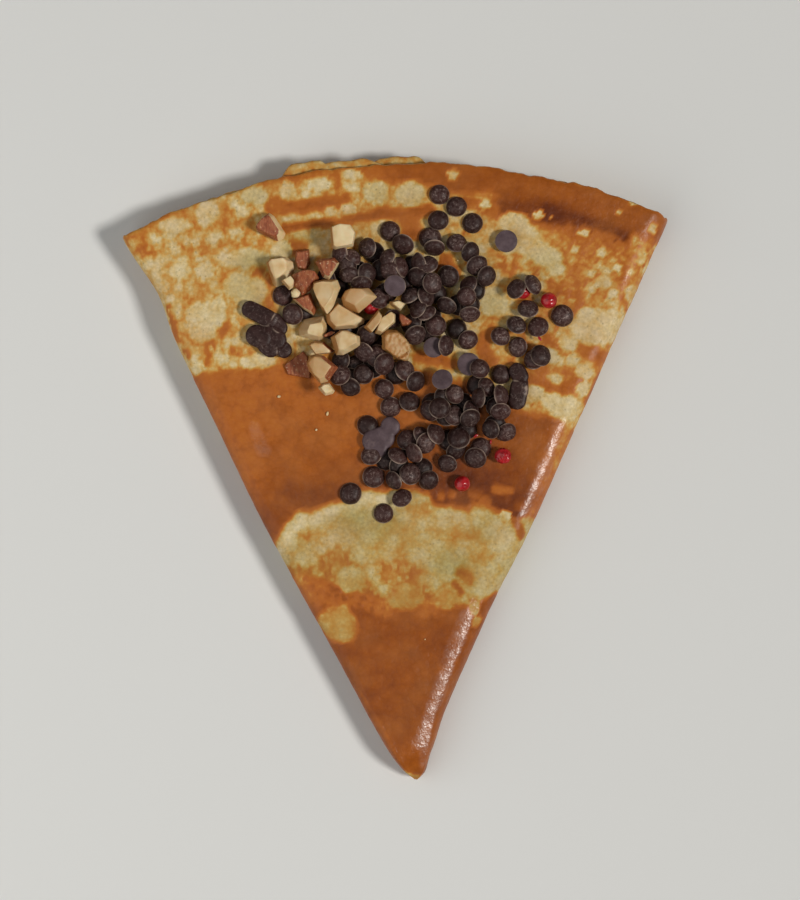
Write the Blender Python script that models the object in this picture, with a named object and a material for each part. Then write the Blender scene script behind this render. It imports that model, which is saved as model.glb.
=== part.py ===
"""Chocolate crepe: a round crepe folded three times, strewn with chocolate drops, almonds and peppercorns.

Lengths are in millimetres inside the functions and become metres when a mesh is made. The working frame has
the folded corner at its origin, the round rim towards +Y and the underside at z = 0.
"""

import math
import random

import bmesh
import bpy
import numpy as np
from mathutils import Matrix, Vector
from mathutils.bvhtree import BVHTree

MM = 0.001

# The folded crepe
CREPE_RADIUS = 175.0
LAYERS = 8
LAYER_PITCH = 1.7
TIP_PITCH = 1.35
TIP_LENGTH = 40.0
CORNER_LENGTH = 10.0
CORNER_FLATNESS = 0.85
CORNER_ROUND = 3.0
STRAIGHT_TO = 20.0
ARC_FROM = 60.0

# Plan outline: spread of each side for its distance along the middle line, and its own bulges
LEFT_SPREAD = 0.516
LEFT_FULLNESS, LEFT_FULLNESS_LENGTH = 3.5, 5.0
LEFT_SWELL = (1.5, 72.0, 30.0)
LEFT_DENT = (2.0, 138.0, 9.0)
RIGHT_SPREAD = 0.4456
RIGHT_FULLNESS = 0.9
RIGHT_KNOB = (1.3, 8.0, 8.0)
EDGE_ROUNDS = 12

# Soft waves of the upper face: height of the first and share of the second, and their lengths over two pi
WAVE_HEIGHT = 0.45
CROSS_WAVE = 0.6
WAVE_X, WAVE_Y, WAVE_DRIFT = 13.0, 19.0, 31.0
CROSS_WAVE_Y, CROSS_WAVE_X = 11.0, 27.0

# Gaps between the layers, cut in from the rim
SLOT_WIDTH = 0.45
SLOT_DEPTH = 6.5
SLOT_STEPS = 14
TURN_STEPS = 6
LAYER_RIPPLE, RIPPLE_LENGTH = 0.25, 6.5

# Left side from top to bottom: each fold's middle and half-height in shares of the stack, steps and inset
LEFT_FOLDS = ((0.75, 0.25, 5, 0.0), (0.375, 0.125, 3, 1.1), (0.125, 0.125, 3, 0.7))
FOLD_WANDER, FOLD_WANDER_LENGTH = 0.8, 24.0
RIGHT_FOLD_STEPS = 6

# Sections of the mesh along the middle line and columns across it
STATIONS = 24
STATION_CROWDING = 1.2
FIRST_SECTIONS = (0.35, 1.6, 3.6)
COLUMNS = 22

# Rim of the layers under the top one that looks out behind it: layer, middle, half-width and reach
PEEKS = ((1, -31.0, 8.0, 3.3), (1, -23.0, 15.0, 2.1), (2, -4.5, 9.5, 2.1), (2, -17.0, 9.0, 1.3))
HIDDEN_RIM = (0.0, -0.4, -0.3, -1.2, -2.0, -1.4, -2.2, -0.9)

# Chocolate drops: flat one side, domed on the other, with the steepest slope that one lies on
DROP_RADIUS = 3.05
DROP_HEIGHT = 2.5
DROP_SIDES = 7
DROP_PROFILE = ((0.95, 0.0), (0.94, 0.48), (0.52, 1.0))
STEEPEST = 0.8
# Every topping keeps this clear of what it lies on, and the drops of the heap sink this deep into each other
GAP = 0.3
FUSE = 0.45

# Heap of drops, patch by patch: middle x and y, half-length, half-width, turn in degrees, drops
HEAP_PATCHES = (
    (-12.2, 147.3, 9.5, 5.8, 35, 10),
    (0.8, 141.9, 8.6, 5.2, -10, 10),
    (7.2, 132.8, 8.8, 6.4, -40, 8),
    (12.8, 148.9, 9.4, 2.6, -38, 6),
    (-16.7, 117.8, 7.4, 2.8, 70, 6),
    (-4.2, 112.2, 6.8, 5.4, 0, 7),
    (11.0, 119.8, 7.8, 4.4, -15, 7),
    (23.8, 111.2, 6.4, 5.2, 0, 7),
    (9.9, 105.6, 8.0, 3.2, 0, 6),
    (19.3, 97.0, 6.4, 3.6, 20, 5),
    (0.8, 95.9, 6.8, 2.9, 10, 6),
    (-11.0, 94.9, 3.6, 7.6, 0, 6),
    (0.6, 86.0, 8.6, 2.9, 15, 5),
)
CORE_MIDDLES = ((1.0, 141.0), (6.0, 106.0))
CORE_HEIGHT = 1.0
CORE_EDGE = 0.45
CORE_SPOKES = 18
CORE_RINGS = 4
CORE_CLEARANCE = 0.35

# Drops that lie apart from the heap: x, y, and 1 where the flat side is up
STRAY_DROPS = (
    (6.8, 165.7, 0), (11.6, 162.3, 0), (6.5, 158.6, 0), (16.1, 157.7, 0), (25.5, 152.5, 1),
    (27.8, 139.3, 0), (33.4, 140.6, 0), (31.6, 134.0, 0), (28.6, 129.5, 0), (34.3, 128.8, 0),
    (41.3, 131.7, 0), (24.1, 126.2, 0), (28.4, 122.9, 0), (33.0, 119.6, 0), (-37.1, 137.4, 0),
    (-34.6, 131.9, 0), (-18.1, 81.8, 0), (-8.9, 76.2, 0),
)
CLUMP_HEIGHT = 2.9
# Drops that melted together before they cooled: x, y and radius of each
DROP_CLUMPS = (
    ((-45.4, 134.4, 3.4), (-40.8, 132.3, 3.4)),
    ((-44.3, 125.8, 3.4), (-39.4, 124.4, 3.5), (-36.2, 120.4, 2.9)),
)

# Chopped almonds: x, y, length, width, height, turn in degrees
ALMONDS = (
    (-40.5, 156.3, 8.6, 6.8, 4.6, -30), (-20.2, 153.5, 7.4, 6.6, 5.0, 10),
    (-37.9, 144.1, 8.8, 7.0, 4.8, 65), (-35.2, 139.6, 4.2, 3.4, 2.8, 20),
    (-31.4, 148.0, 6.4, 4.2, 3.6, 80), (-24.6, 145.0, 6.8, 6.0, 4.2, 30),
    (-30.6, 141.2, 7.0, 6.2, 3.8, 15), (-30.2, 134.6, 7.9, 5.6, 4.0, 25),
    (-24.3, 137.2, 9.6, 6.8, 4.6, 80), (-15.9, 135.9, 10.2, 7.2, 5.0, -20),
    (-19.8, 130.4, 10.6, 6.4, 4.4, -15), (-28.9, 128.0, 8.0, 6.8, 4.6, 0),
    (-12.2, 129.6, 6.8, 4.4, 4.2, 60), (-8.0, 129.4, 6.8, 4.6, 4.4, 50),
    (-5.1, 134.8, 4.8, 3.6, 3.2, 0), (-3.0, 130.3, 3.6, 3.0, 2.4, 40),
    (-19.3, 123.7, 8.2, 7.0, 4.8, 10), (-5.9, 122.8, 8.6, 7.6, 5.2, -35),
    (-26.5, 122.6, 7.4, 4.2, 3.4, -5), (-26.1, 116.7, 8.0, 7.4, 4.8, 30),
    (-24.9, 110.8, 4.8, 3.8, 3.0, 0), (-34.0, 117.6, 5.8, 5.0, 1.6, 20),
)
ALMOND_CORNERS = 16
ALMOND_BLOCK = 3.4

# Pink peppercorns: x, y and radius
PEPPERCORNS = (
    (37.4, 135.9, 2.3), (24.6, 92.4, 2.4), (13.6, 83.4, 2.2), (-12.4, 134.2, 2.3), (30.2, 138.4, 2.1),
)

# Each drop of a patch is the farthest from the others of this many draws
PATCH_DRAWS = 12

# Map of how high things reach, on which the toppings come to rest: lowest x and y, cells each way, cell size
MAP_X, MAP_Y, MAP_COLUMNS, MAP_ROWS, CELL = -52.0, 70.0, 400, 410, 0.25


def smooth(low, high, value):
    """0 at low, 1 at high, and a soft step between."""
    t = np.clip((value - low) / (high - low), 0.0, 1.0)
    return t * t * (3.0 - 2.0 * t)


def hump(value, middle, half_width):
    """A soft bump of height 1."""
    return np.exp(-(((value - middle) / half_width) ** 2))


def thickness(r):
    """Height of the stack at distance r from the folded corner, where it is pressed thinner."""
    pitch = LAYER_PITCH - (LAYER_PITCH - TIP_PITCH) * np.exp(-r / TIP_LENGTH)
    return LAYERS * pitch * np.sqrt(1.0 - CORNER_FLATNESS * (1.0 - np.clip(r / CORNER_LENGTH, 0.0, 1.0)) ** 2)


def corner_rounding(h):
    """Closes the plan outline round the folded corner."""
    return np.sqrt(1.0 - (1.0 - np.clip(h / CORNER_ROUND, 0.0, 1.0)) ** 2)


def left_width(h):
    """Plan outline left of the middle line: a straight fold with a swell half way and a dent near the rim."""
    swell, dent = LEFT_SWELL[0] * hump(h, *LEFT_SWELL[1:]), LEFT_DENT[0] * hump(h, *LEFT_DENT[1:])
    fullness = LEFT_FULLNESS * (1.0 - np.exp(-h / LEFT_FULLNESS_LENGTH))
    return corner_rounding(h) * (LEFT_SPREAD * h + fullness + swell - dent)


def right_width(h):
    """Plan outline right of the middle line, with the little knob where the corner is folded."""
    return corner_rounding(h) * (RIGHT_SPREAD * h + RIGHT_FULLNESS + RIGHT_KNOB[0] * hump(h, *RIGHT_KNOB[1:]))


def bow(x, r):
    """y of a point on the section at distance r, straight near the corner and an arc towards the rim."""
    arc = np.sqrt(np.maximum(r * r - x * x, 0.0))
    return r - smooth(STRAIGHT_TO, ARC_FROM, r) * (r - arc)


def edges(r):
    """x of the left and right edge of the section at distance r."""
    found = []
    for width, side in ((left_width, -1.0), (right_width, 1.0)):
        h = r
        for _ in range(EDGE_ROUNDS):
            h = 0.5 * (h + bow(width(h), r))
        found.append(side * width(h))
    return found


def top_height(x, y):
    """Height of the crepe's upper face: soft waves, level with the folds at both sides."""
    r = np.hypot(x, y)
    low, high = edges(r)
    inside = smooth(3.0, 17.0, x - low) * smooth(6.0, 20.0, high - x) * smooth(15.0, 50.0, r)
    wave = np.sin(x / WAVE_X + 1.1 * np.sin(y / WAVE_DRIFT)) * np.sin(y / WAVE_Y + 0.6)
    cross = CROSS_WAVE * np.sin(y / CROSS_WAVE_Y - x / CROSS_WAVE_X)
    return thickness(r) + WAVE_HEIGHT * inside * (wave + cross)


def layer_level(layer, x):
    """Height of the underside of a layer, counted from 1 at the top, along the rim at x."""
    low, high = edges(CREPE_RADIUS)
    inside = smooth(4.0, 16.0, x - low) * smooth(8.0, 20.0, high - x)
    ripple = LAYER_RIPPLE * np.sin(x / RIPPLE_LENGTH + 1.7 * layer) * inside
    return top_height(x, bow(x, CREPE_RADIUS)) * (1.0 - layer / LAYERS) + ripple


def rim_shift(layer, x):
    """How far the rim of a layer, counted from the top, stands out past the crepe's radius at x."""
    low, high = edges(CREPE_RADIUS)
    inside = smooth(4.0, 14.0, x - low) * smooth(7.0, 18.0, high - x)
    shift = HIDDEN_RIM[layer] + 0.3 * np.sin(x / (7.0 + layer) + 2.0 * layer)
    for peek_layer, middle, half_width, reach in PEEKS:
        if layer == peek_layer:
            out = smooth(1.0, 0.5, abs(x - middle) / half_width)
            shift = np.maximum(shift, shift + (reach - shift) * out)
    return shift * inside


def right_fold(height):
    """The right side from top to bottom: one round fold, as (inset from the edge, z)."""
    half = 0.5 * height
    angles = [math.pi * (0.5 - i / RIGHT_FOLD_STEPS) for i in range(RIGHT_FOLD_STEPS + 1)]
    return [(half * (1.0 - math.cos(a)), half * (1.0 + math.sin(a))) for a in angles]


def left_folds(height, r):
    """The left side from top to bottom: a fold of four layers over two folds of two, one at the corner."""
    apart = smooth(8.0, 40.0, r)
    points = []
    for number, (middle, half, steps, inset) in enumerate(LEFT_FOLDS):
        wander = FOLD_WANDER * math.sin(r / FOLD_WANDER_LENGTH) if number == 1 else 0.0
        for i in range(steps + 1):
            a = math.pi * (0.5 - i / steps)
            share = middle + half * math.sin(a)
            own = inset + wander + half * height * (1.0 - math.cos(a))
            whole = 0.5 * height * (1.0 - math.sqrt(max(1.0 - (2.0 * share - 1.0) ** 2, 0.0)))
            depth = whole + (own - whole) * apart
            points.append((depth, share * height))
    return points


def section(r, last):
    """The closed outline of the stack at distance r: top, right fold, underside, left folds."""
    low, high = edges(r)
    height = thickness(r)
    width = high - low
    squeeze = min(1.0, 0.9 * width / (0.75 * height + 0.01))
    right = [(inset * squeeze, z) for inset, z in right_fold(height)]
    left = [(inset * squeeze, z) for inset, z in left_folds(height, r)]
    first, final = low + left[0][0], high - right[0][0]
    bottom_first, bottom_final = low + left[-1][0], high - right[-1][0]

    def point(x, z, shift):
        return (x, bow(x, r + shift), z)

    ring = []
    for i in range(1, COLUMNS):
        x = first + (final - first) * i / COLUMNS
        y = bow(x, r + rim_shift(0, x)) if last else bow(x, r)
        ring.append((x, y, top_height(x, y)))
    ring += [point(high - inset, z, 0.0) for inset, z in right]
    for i in range(COLUMNS - 1, 0, -1):
        x = bottom_first + (bottom_final - bottom_first) * i / COLUMNS
        ring.append(point(x, 0.0, rim_shift(LAYERS - 1, x) if last else 0.0))
    ring += [point(low + inset, z, 0.0) for inset, z in reversed(left)]
    return ring


def crepe_body():
    """The folded stack as one closed mesh, with the rim of each layer at its own distance."""
    mesh = bmesh.new()
    distances = [CREPE_RADIUS * (i / STATIONS) ** STATION_CROWDING for i in range(1, STATIONS + 1)]
    distances[0:1] = FIRST_SECTIONS
    rings = [[mesh.verts.new(p) for p in section(r, r == distances[-1])] for r in distances]
    for near, far in zip(rings, rings[1:]):
        for i, vertex in enumerate(near):
            before = i - 1
            mesh.faces.new((near[before], far[before], far[i], vertex))
    mesh.faces.new(rings[0])
    close_rim(mesh, rings[-1])
    bmesh.ops.remove_doubles(mesh, verts=mesh.verts, dist=1e-5)
    bmesh.ops.triangulate(mesh, faces=[f for f in mesh.faces if len(f.verts) > 4])
    bmesh.ops.recalc_face_normals(mesh, faces=mesh.faces)
    return mesh


def close_rim(mesh, ring):
    """Closes the round end: two rows of points for each layer, then the ends of the side folds."""
    right_points = len(right_fold(1.0))
    top = ring[: COLUMNS - 1]
    right = ring[COLUMNS - 1 : COLUMNS - 1 + right_points]
    bottom = ring[COLUMNS - 1 + right_points : 2 * COLUMNS - 2 + right_points][::-1]
    left = ring[2 * COLUMNS - 2 + right_points :]
    columns = []
    for above, below in zip(top, bottom):
        x = above.co.x
        column = [above]
        for layer in range(LAYERS):
            y = bow(x, CREPE_RADIUS + rim_shift(layer, x))
            if layer > 0:
                column.append(mesh.verts.new((x, y, layer_level(layer, x))))
            if layer < LAYERS - 1:
                column.append(mesh.verts.new((x, y, layer_level(layer + 1, x))))
        column.append(below)
        columns.append(column)
    for near, far in zip(columns, columns[1:]):
        for row in range(len(near) - 1):
            mesh.faces.new((near[row], near[row + 1], far[row + 1], far[row]))
    mesh.faces.new(columns[-1] + right[::-1])
    mesh.faces.new(columns[0] + left)


def slot_paths():
    """Where the gaps between layers run in the end face, as lists of (x, z), as the sheet is folded."""
    low, high = edges(CREPE_RADIUS)
    height = thickness(CREPE_RADIUS)
    right = high - 0.5 * height
    level = [height * (1.0 - k / LAYERS) for k in range(LAYERS + 1)]

    def run(start, end, layer):
        inner = [start + (end - start) * i / SLOT_STEPS for i in range(1, SLOT_STEPS)]
        return [(x, layer_level(layer, x)) for x in inner]

    def turn(x, z, radius, begin, end):
        angles = [math.radians(begin + (end - begin) * i / TURN_STEPS) for i in range(TURN_STEPS + 1)]
        return [(x + radius * math.cos(a), z + radius * math.sin(a)) for a in angles]

    middle, eighth = 0.5 * height, height / LAYERS
    small, large = low + 1.3 * eighth, low + 2.2 * eighth
    inner_loop = (
        [(small, level[7])] + run(small, right, 7)
        + turn(right, middle, 3.0 * eighth, -90, 90) + run(right, large, 1)
        + turn(large, level[2], eighth, 90, 270) + run(large, right, 3)
        + turn(right, middle, eighth, 90, -90) + run(right, small + 1.5, 5) + [(small + 1.5, level[5])]
    )
    outside = low - 4.0
    second = (
        [(large, level[2])] + run(large, right, 2)
        + turn(right, middle, 2.0 * eighth, 90, -90) + run(right, low, 6) + [(outside, level[6])]
    )
    third = [(right, level[4])] + run(right, low, 4) + [(outside, level[4])]
    return inner_loop, second, third


def slot_mesh(path):
    """A thin curved slab along path, which follows the side folds inwards and cuts one gap."""
    mesh = bmesh.new()
    low, high = edges(CREPE_RADIUS)
    rows = []
    for i, (x, z) in enumerate(path):
        before, after = path[max(i - 1, 0)], path[min(i + 1, len(path) - 1)]
        along = Vector((after[0] - before[0], after[1] - before[1])).normalized()
        side = Vector((-along.y, along.x)) * 0.5 * SLOT_WIDTH
        row = []
        for sign, out in ((1, -SLOT_DEPTH), (1, SLOT_DEPTH), (-1, SLOT_DEPTH), (-1, -SLOT_DEPTH)):
            near, far = edges(CREPE_RADIUS + out)
            slot_x = near + (far - near) * (x + sign * side.x - low) / (high - low)
            row.append(mesh.verts.new((slot_x, bow(slot_x, CREPE_RADIUS + out), z + sign * side.y)))
        rows.append(row)
    for near, far in zip(rows, rows[1:]):
        for i in range(4):
            mesh.faces.new((near[i - 1], near[i], far[i], far[i - 1]))
    mesh.faces.new(rows[0])
    mesh.faces.new(rows[-1][::-1])
    bmesh.ops.recalc_face_normals(mesh, faces=mesh.faces)
    return mesh


def drop_form(radius=DROP_RADIUS, height=DROP_HEIGHT, flat_up=False):
    """Points and faces of a chocolate drop that lies on its flat side, or with that side up."""
    points, faces = [], []
    for share, z in DROP_PROFILE:
        for i in range(DROP_SIDES):
            a = 2.0 * math.pi * i / DROP_SIDES
            points.append((share * radius * math.cos(a), share * radius * math.sin(a), z * height))
    for ring in range(len(DROP_PROFILE) - 1):
        for i in range(DROP_SIDES):
            j = (i + 1) % DROP_SIDES
            start, above = ring * DROP_SIDES, (ring + 1) * DROP_SIDES
            faces.append((start + i, start + j, above + j, above + i))
    faces.append(tuple(range(DROP_SIDES))[::-1])
    faces.append(tuple(range(len(points) - DROP_SIDES, len(points))))
    points = np.array(points)
    if flat_up:
        points[:, 2] = height - points[:, 2]
        faces = [face[::-1] for face in faces]
    return points, faces


def almond_form(length, width, height, seed):
    """A chip of almond: the hull of seeded corners on a rounded block."""
    draw = random.Random(seed)
    mesh = bmesh.new()
    for i in range(ALMOND_CORNERS):
        z = 1.0 - 2.0 * (i + 0.5) / ALMOND_CORNERS
        a = i * math.pi * (3.0 - math.sqrt(5.0)) + draw.uniform(-0.5, 0.5)
        ring = math.sqrt(1.0 - z * z)
        direction = (ring * math.cos(a), ring * math.sin(a), z)
        block = sum(abs(c) ** ALMOND_BLOCK for c in direction) ** (-1.0 / ALMOND_BLOCK)
        reach = block * draw.uniform(0.9, 1.12)
        size = (0.5 * length, 0.5 * width, 0.5 * height)
        mesh.verts.new([c * reach * s for c, s in zip(direction, size)])
    hull = bmesh.ops.convex_hull(mesh, input=mesh.verts)
    inside = [g for g in hull["geom_interior"] if isinstance(g, bmesh.types.BMVert)]
    bmesh.ops.delete(mesh, geom=inside, context="VERTS")
    mesh.verts.index_update()
    points = np.array([v.co for v in mesh.verts])
    points[:, 2] -= points[:, 2].min()
    faces = [tuple(v.index for v in f.verts) for f in mesh.faces]
    mesh.free()
    return points, faces


def peppercorn_form(radius):
    """A small round berry."""
    mesh = bmesh.new()
    bmesh.ops.create_icosphere(mesh, subdivisions=2, radius=radius)
    points = np.array([v.co for v in mesh.verts])
    points[:, 2] += radius
    faces = [tuple(v.index for v in f.verts) for f in mesh.faces]
    mesh.free()
    return points, faces


class ReachMap:
    """Heights on a fine grid: of the crepe and of the toppings, which later ones come to rest on."""

    def __init__(self):
        self.x = MAP_X + CELL * (np.arange(MAP_COLUMNS) + 0.5)
        self.y = MAP_Y + CELL * (np.arange(MAP_ROWS) + 0.5)
        self.others = top_height(*np.meshgrid(self.x, self.y, indexing="ij"))
        self.heap = np.full_like(self.others, -1.0)

    def cells(self, x, y, radius):
        """Indexes of the cells whose middle lies within radius of the point."""
        columns, rows = np.meshgrid(self.x - x, self.y - y, indexing="ij")
        return np.argwhere(np.hypot(columns, rows) < radius)

    def slope(self, floor, cells, x, y):
        """The rise in x and in y at which a flat piece lies lowest at its middle, as a loose one settles."""
        under = floor[cells[:, 0], cells[:, 1]]
        east, north = self.x[cells[:, 0]] - x, self.y[cells[:, 1]] - y
        rise, step = np.zeros(2), 0.3
        lowest = float(under.max())
        while step > 0.01:
            moves = [rise + step * np.array((math.cos(a), math.sin(a))) for a in np.arange(8) * math.pi / 4.0]
            moves = [move for move in moves if np.hypot(*move) < STEEPEST]
            heights = [float((under - move[0] * east - move[1] * north).max()) for move in moves]
            best = int(np.argmin(heights))
            if heights[best] < lowest - 1e-6:
                rise, lowest = moves[best], heights[best]
            else:
                step *= 0.5
        return rise

    def cover(self, mesh):
        """Notes how high a placed solid of the heap or of a clump reaches."""
        tree = BVHTree.FromBMesh(mesh)
        points = np.array([v.co for v in mesh.verts])
        middle = 0.5 * (points.min(axis=0) + points.max(axis=0))
        radius = float(np.hypot(*(points - middle)[:, :2].T).max())
        for column, row in self.cells(middle[0], middle[1], radius):
            found = tree.ray_cast(Vector((self.x[column], self.y[row], 50.0)), Vector((0.0, 0.0, -1.0)))[0]
            if found is not None:
                self.heap[column, row] = max(self.heap[column, row], found.z)

    def rest(self, form, x, y, turn, joins_heap=False):
        """Turns, tilts and lowers a piece until it lies on what is under it. Returns its points and faces."""
        points, faces = form
        spun = points @ np.array(Matrix.Rotation(math.radians(turn), 3, "Z")).T
        radius = float(np.hypot(spun[:, 0], spun[:, 1]).max())
        floor = np.maximum(self.others + GAP, self.heap + (-FUSE if joins_heap else GAP))
        rise = self.slope(floor, self.cells(x, y, radius + CELL), x, y)
        normal = Vector((-rise[0], -rise[1], 1.0))
        tilt = np.array(Vector((0.0, 0.0, 1.0)).rotation_difference(normal).to_matrix())
        placed = spun @ tilt.T + np.array((x, y, 0.0))
        tree = BVHTree.FromPolygons([tuple(p) for p in placed], faces)
        spans = []
        for column, row in self.cells(x, y, radius + 1.0):
            upward = tree.ray_cast(Vector((self.x[column], self.y[row], -50.0)), Vector((0.0, 0.0, 1.0)))[0]
            if upward is None:
                continue
            downward = tree.ray_cast(Vector((self.x[column], self.y[row], 50.0)), Vector((0.0, 0.0, -1.0)))[0]
            spans.append((column, row, upward.z, (downward or upward).z))
        around = 0 if joins_heap else 1
        lift = -100.0
        for column, row, under, _ in spans:
            near = floor[column - around : column + around + 1, row - around : row + around + 1]
            lift = max(lift, float(near.max()) - under)
        target = self.heap if joins_heap else self.others
        for column, row, _, above in spans:
            target[column, row] = max(target[column, row], above + lift)
        placed[:, 2] += lift
        return placed, faces


def spread_in_patch(patch, draw):
    """Places for the drops of one patch, each the farthest of its draws from those already there."""
    x, y, half_length, half_width, turn, count = patch
    cosine, sine = math.cos(math.radians(turn)), math.sin(math.radians(turn))
    found = []
    for _ in range(count):
        best, best_distance = None, -1.0
        for _ in range(PATCH_DRAWS):
            a, share = draw.uniform(0.0, 2.0 * math.pi), math.sqrt(draw.random())
            along, across = half_length * share * math.cos(a), half_width * share * math.sin(a)
            place = (x + along * cosine - across * sine, y + along * sine + across * cosine)
            distance = min((math.dist(place, other) for other in found), default=100.0)
            if distance > best_distance:
                best, best_distance = place, distance
        found.append(best)
    return found


def heap_core(middle, places):
    """A low middle of the heap: a thin layer over the crepe, out to the outermost of its drops."""
    middle = Vector(middle)
    arms = [Vector(place) - middle for place in places]
    step = 2.0 * math.pi / CORE_SPOKES
    mesh = bmesh.new()
    grids = {1: [], 0: []}
    for ring in range(1, CORE_RINGS + 1):
        rows = {1: [], 0: []}
        for spoke in range(CORE_SPOKES):
            ray = Vector((math.cos(spoke * step), math.sin(spoke * step)))
            reach = max((arm.length for arm in arms if abs(arm.angle_signed(ray)) < 0.8 * step), default=6.0)
            x, y = middle + ray * reach * ring / CORE_RINGS
            lower = top_height(x, y) + CORE_CLEARANCE
            height = CORE_EDGE if ring == CORE_RINGS else CORE_HEIGHT
            rows[0].append(mesh.verts.new((x, y, lower)))
            rows[1].append(mesh.verts.new((x, y, lower + height)))
        for side in grids:
            grids[side].append(rows[side])
    base = top_height(*middle) + CORE_CLEARANCE
    for side, grid in grids.items():
        hub = mesh.verts.new((middle.x, middle.y, base + side * CORE_HEIGHT))
        for i in range(CORE_SPOKES):
            mesh.faces.new((hub, grid[0][i - 1], grid[0][i]))
        for near, far in zip(grid, grid[1:]):
            for i in range(CORE_SPOKES):
                mesh.faces.new((near[i - 1], far[i - 1], far[i], near[i]))
    for i in range(CORE_SPOKES):
        mesh.faces.new((grids[1][-1][i - 1], grids[0][-1][i - 1], grids[0][-1][i], grids[1][-1][i]))
    bmesh.ops.triangulate(mesh, faces=mesh.faces)
    bmesh.ops.recalc_face_normals(mesh, faces=mesh.faces)
    return mesh


def nearest_places(number, places):
    """The drops that the numbered core carries, with those on the border that both carry."""
    own = CORE_MIDDLES[number]
    other = CORE_MIDDLES[1 - number]
    return [place for place in places if math.dist(place, own) < 1.25 * math.dist(place, other)]


def principled(name, colour, roughness):
    """A plain material: linear colour and roughness of a food surface."""
    material = bpy.data.materials.new(name)
    material.use_nodes = True
    shader = material.node_tree.nodes["Principled BSDF"]
    shader.inputs["Base Color"].default_value = (*colour, 1.0)
    shader.inputs["Roughness"].default_value = roughness
    shader.inputs["Metallic"].default_value = 0.0
    return material


def box_middle():
    """Middle of the crepe's box in plan, with the layers that stand out past the top one."""
    low, high = edges(CREPE_RADIUS)
    x = np.linspace(low, high, COLUMNS + 1)
    farthest = max(float(bow(x, CREPE_RADIUS + rim_shift(layer, x)).max()) for layer in range(LAYERS))
    return Vector((0.5 * (low + high), 0.5 * (FIRST_SECTIONS[0] + farthest), 0.0))


def add_object(name, mesh, collection, material=None):
    """Makes an object in metres from a bmesh in millimetres, with the middle of the crepe over the origin."""
    middle = box_middle()
    for vertex in mesh.verts:
        vertex.co = (vertex.co - middle) * MM
    data = bpy.data.meshes.new(name)
    mesh.to_mesh(data)
    mesh.free()
    if material:
        data.materials.append(material)
    made = bpy.data.objects.new(name, data)
    collection.objects.link(made)
    return made


def as_bmesh(form):
    """A bmesh from points and faces."""
    points, faces = form
    mesh = bmesh.new()
    vertices = [mesh.verts.new(p) for p in points]
    for face in faces:
        mesh.faces.new([vertices[i] for i in face])
    return mesh


def fuse(base, collection):
    """One Boolean union of base with all in collection, applied. The joined pieces are then removed."""
    union = base.modifiers.new("fused", "BOOLEAN")
    union.operation = "UNION"
    union.solver = "EXACT"
    union.operand_type = "COLLECTION"
    union.collection = collection
    bpy.context.view_layer.update()
    evaluated = base.evaluated_get(bpy.context.evaluated_depsgraph_get())
    joined = bpy.data.meshes.new_from_object(evaluated)
    base.modifiers.remove(union)
    base.data = joined
    for piece in list(collection.objects):
        bpy.data.objects.remove(piece, do_unlink=True)
    bpy.data.collections.remove(collection)
    tidy = bmesh.new()
    tidy.from_mesh(joined)
    bmesh.ops.remove_doubles(tidy, verts=tidy.verts, dist=1e-6)
    bmesh.ops.triangulate(tidy, faces=tidy.faces)
    tidy.to_mesh(joined)
    tidy.free()


def new_collection(name):
    """A collection of the scene."""
    made = bpy.data.collections.new(name)
    bpy.context.scene.collection.children.link(made)
    return made


def make_crepe(collection, cutters):
    """The folded sheet, cut between its layers along the rim."""
    batter = principled("browned_batter", (0.48, 0.24, 0.06), 0.45)
    crepe = add_object("crepe", crepe_body(), collection, batter)
    for number, path in enumerate(slot_paths(), 1):
        cutter = add_object(f"layer_gap_{number}", slot_mesh(path), cutters)
        cutter.hide_render = True
        cutter.display_type = "WIRE"
        cut = crepe.modifiers.new(cutter.name, "BOOLEAN")
        cut.operation = "DIFFERENCE"
        cut.solver = "EXACT"
        cut.object = cutter


def fused_object(name, parts, collection, material):
    """One solid of all the pieces in a collection, which is then gone."""
    base = parts.objects[0]
    base.name = name
    base.data.materials.append(material)
    parts.objects.unlink(base)
    collection.objects.link(base)
    fuse(base, parts)


def make_heap(reach_map, draw, collection, chocolate):
    """The heap as one solid: seeded drops over two low cores."""
    parts = new_collection("heap_parts")
    places = [place for patch in HEAP_PATCHES for place in spread_in_patch(patch, draw)]
    for x, y in places:
        form = drop_form(DROP_RADIUS * draw.uniform(0.94, 1.05), DROP_HEIGHT * draw.uniform(0.9, 1.1))
        form = reach_map.rest(form, x, y, draw.uniform(0.0, 45.0), joins_heap=True)
        add_object("heap_drop", as_bmesh(form), parts)
    for number, middle in enumerate(CORE_MIDDLES):
        core = heap_core(middle, nearest_places(number, places))
        reach_map.cover(core)
        add_object("heap_core", core, parts)
    fused_object("chocolate_drops", parts, collection, chocolate)


def make_clumps(reach_map, collection, chocolate):
    """Drops that lie flat on the crepe, melted into one another."""
    for number, clump in enumerate(DROP_CLUMPS, 1):
        parts = new_collection("clump_parts")
        for x, y, radius in clump:
            points, faces = drop_form(radius, CLUMP_HEIGHT)
            points += (x, y, top_height(x, y) + 2.0 * GAP)
            mesh = as_bmesh((points, faces))
            reach_map.cover(mesh)
            add_object("clump_drop", mesh, parts)
        fused_object(f"drop_clump_{number}", parts, collection, chocolate)


def make_stray_drops(reach_map, draw, collection, chocolate):
    """The drops that lie apart."""
    for number, (x, y, flat_up) in enumerate(STRAY_DROPS, 1):
        form = reach_map.rest(drop_form(flat_up=bool(flat_up)), x, y, draw.uniform(0.0, 45.0))
        add_object(f"drop_{number:02d}", as_bmesh(form), collection, chocolate)


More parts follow.
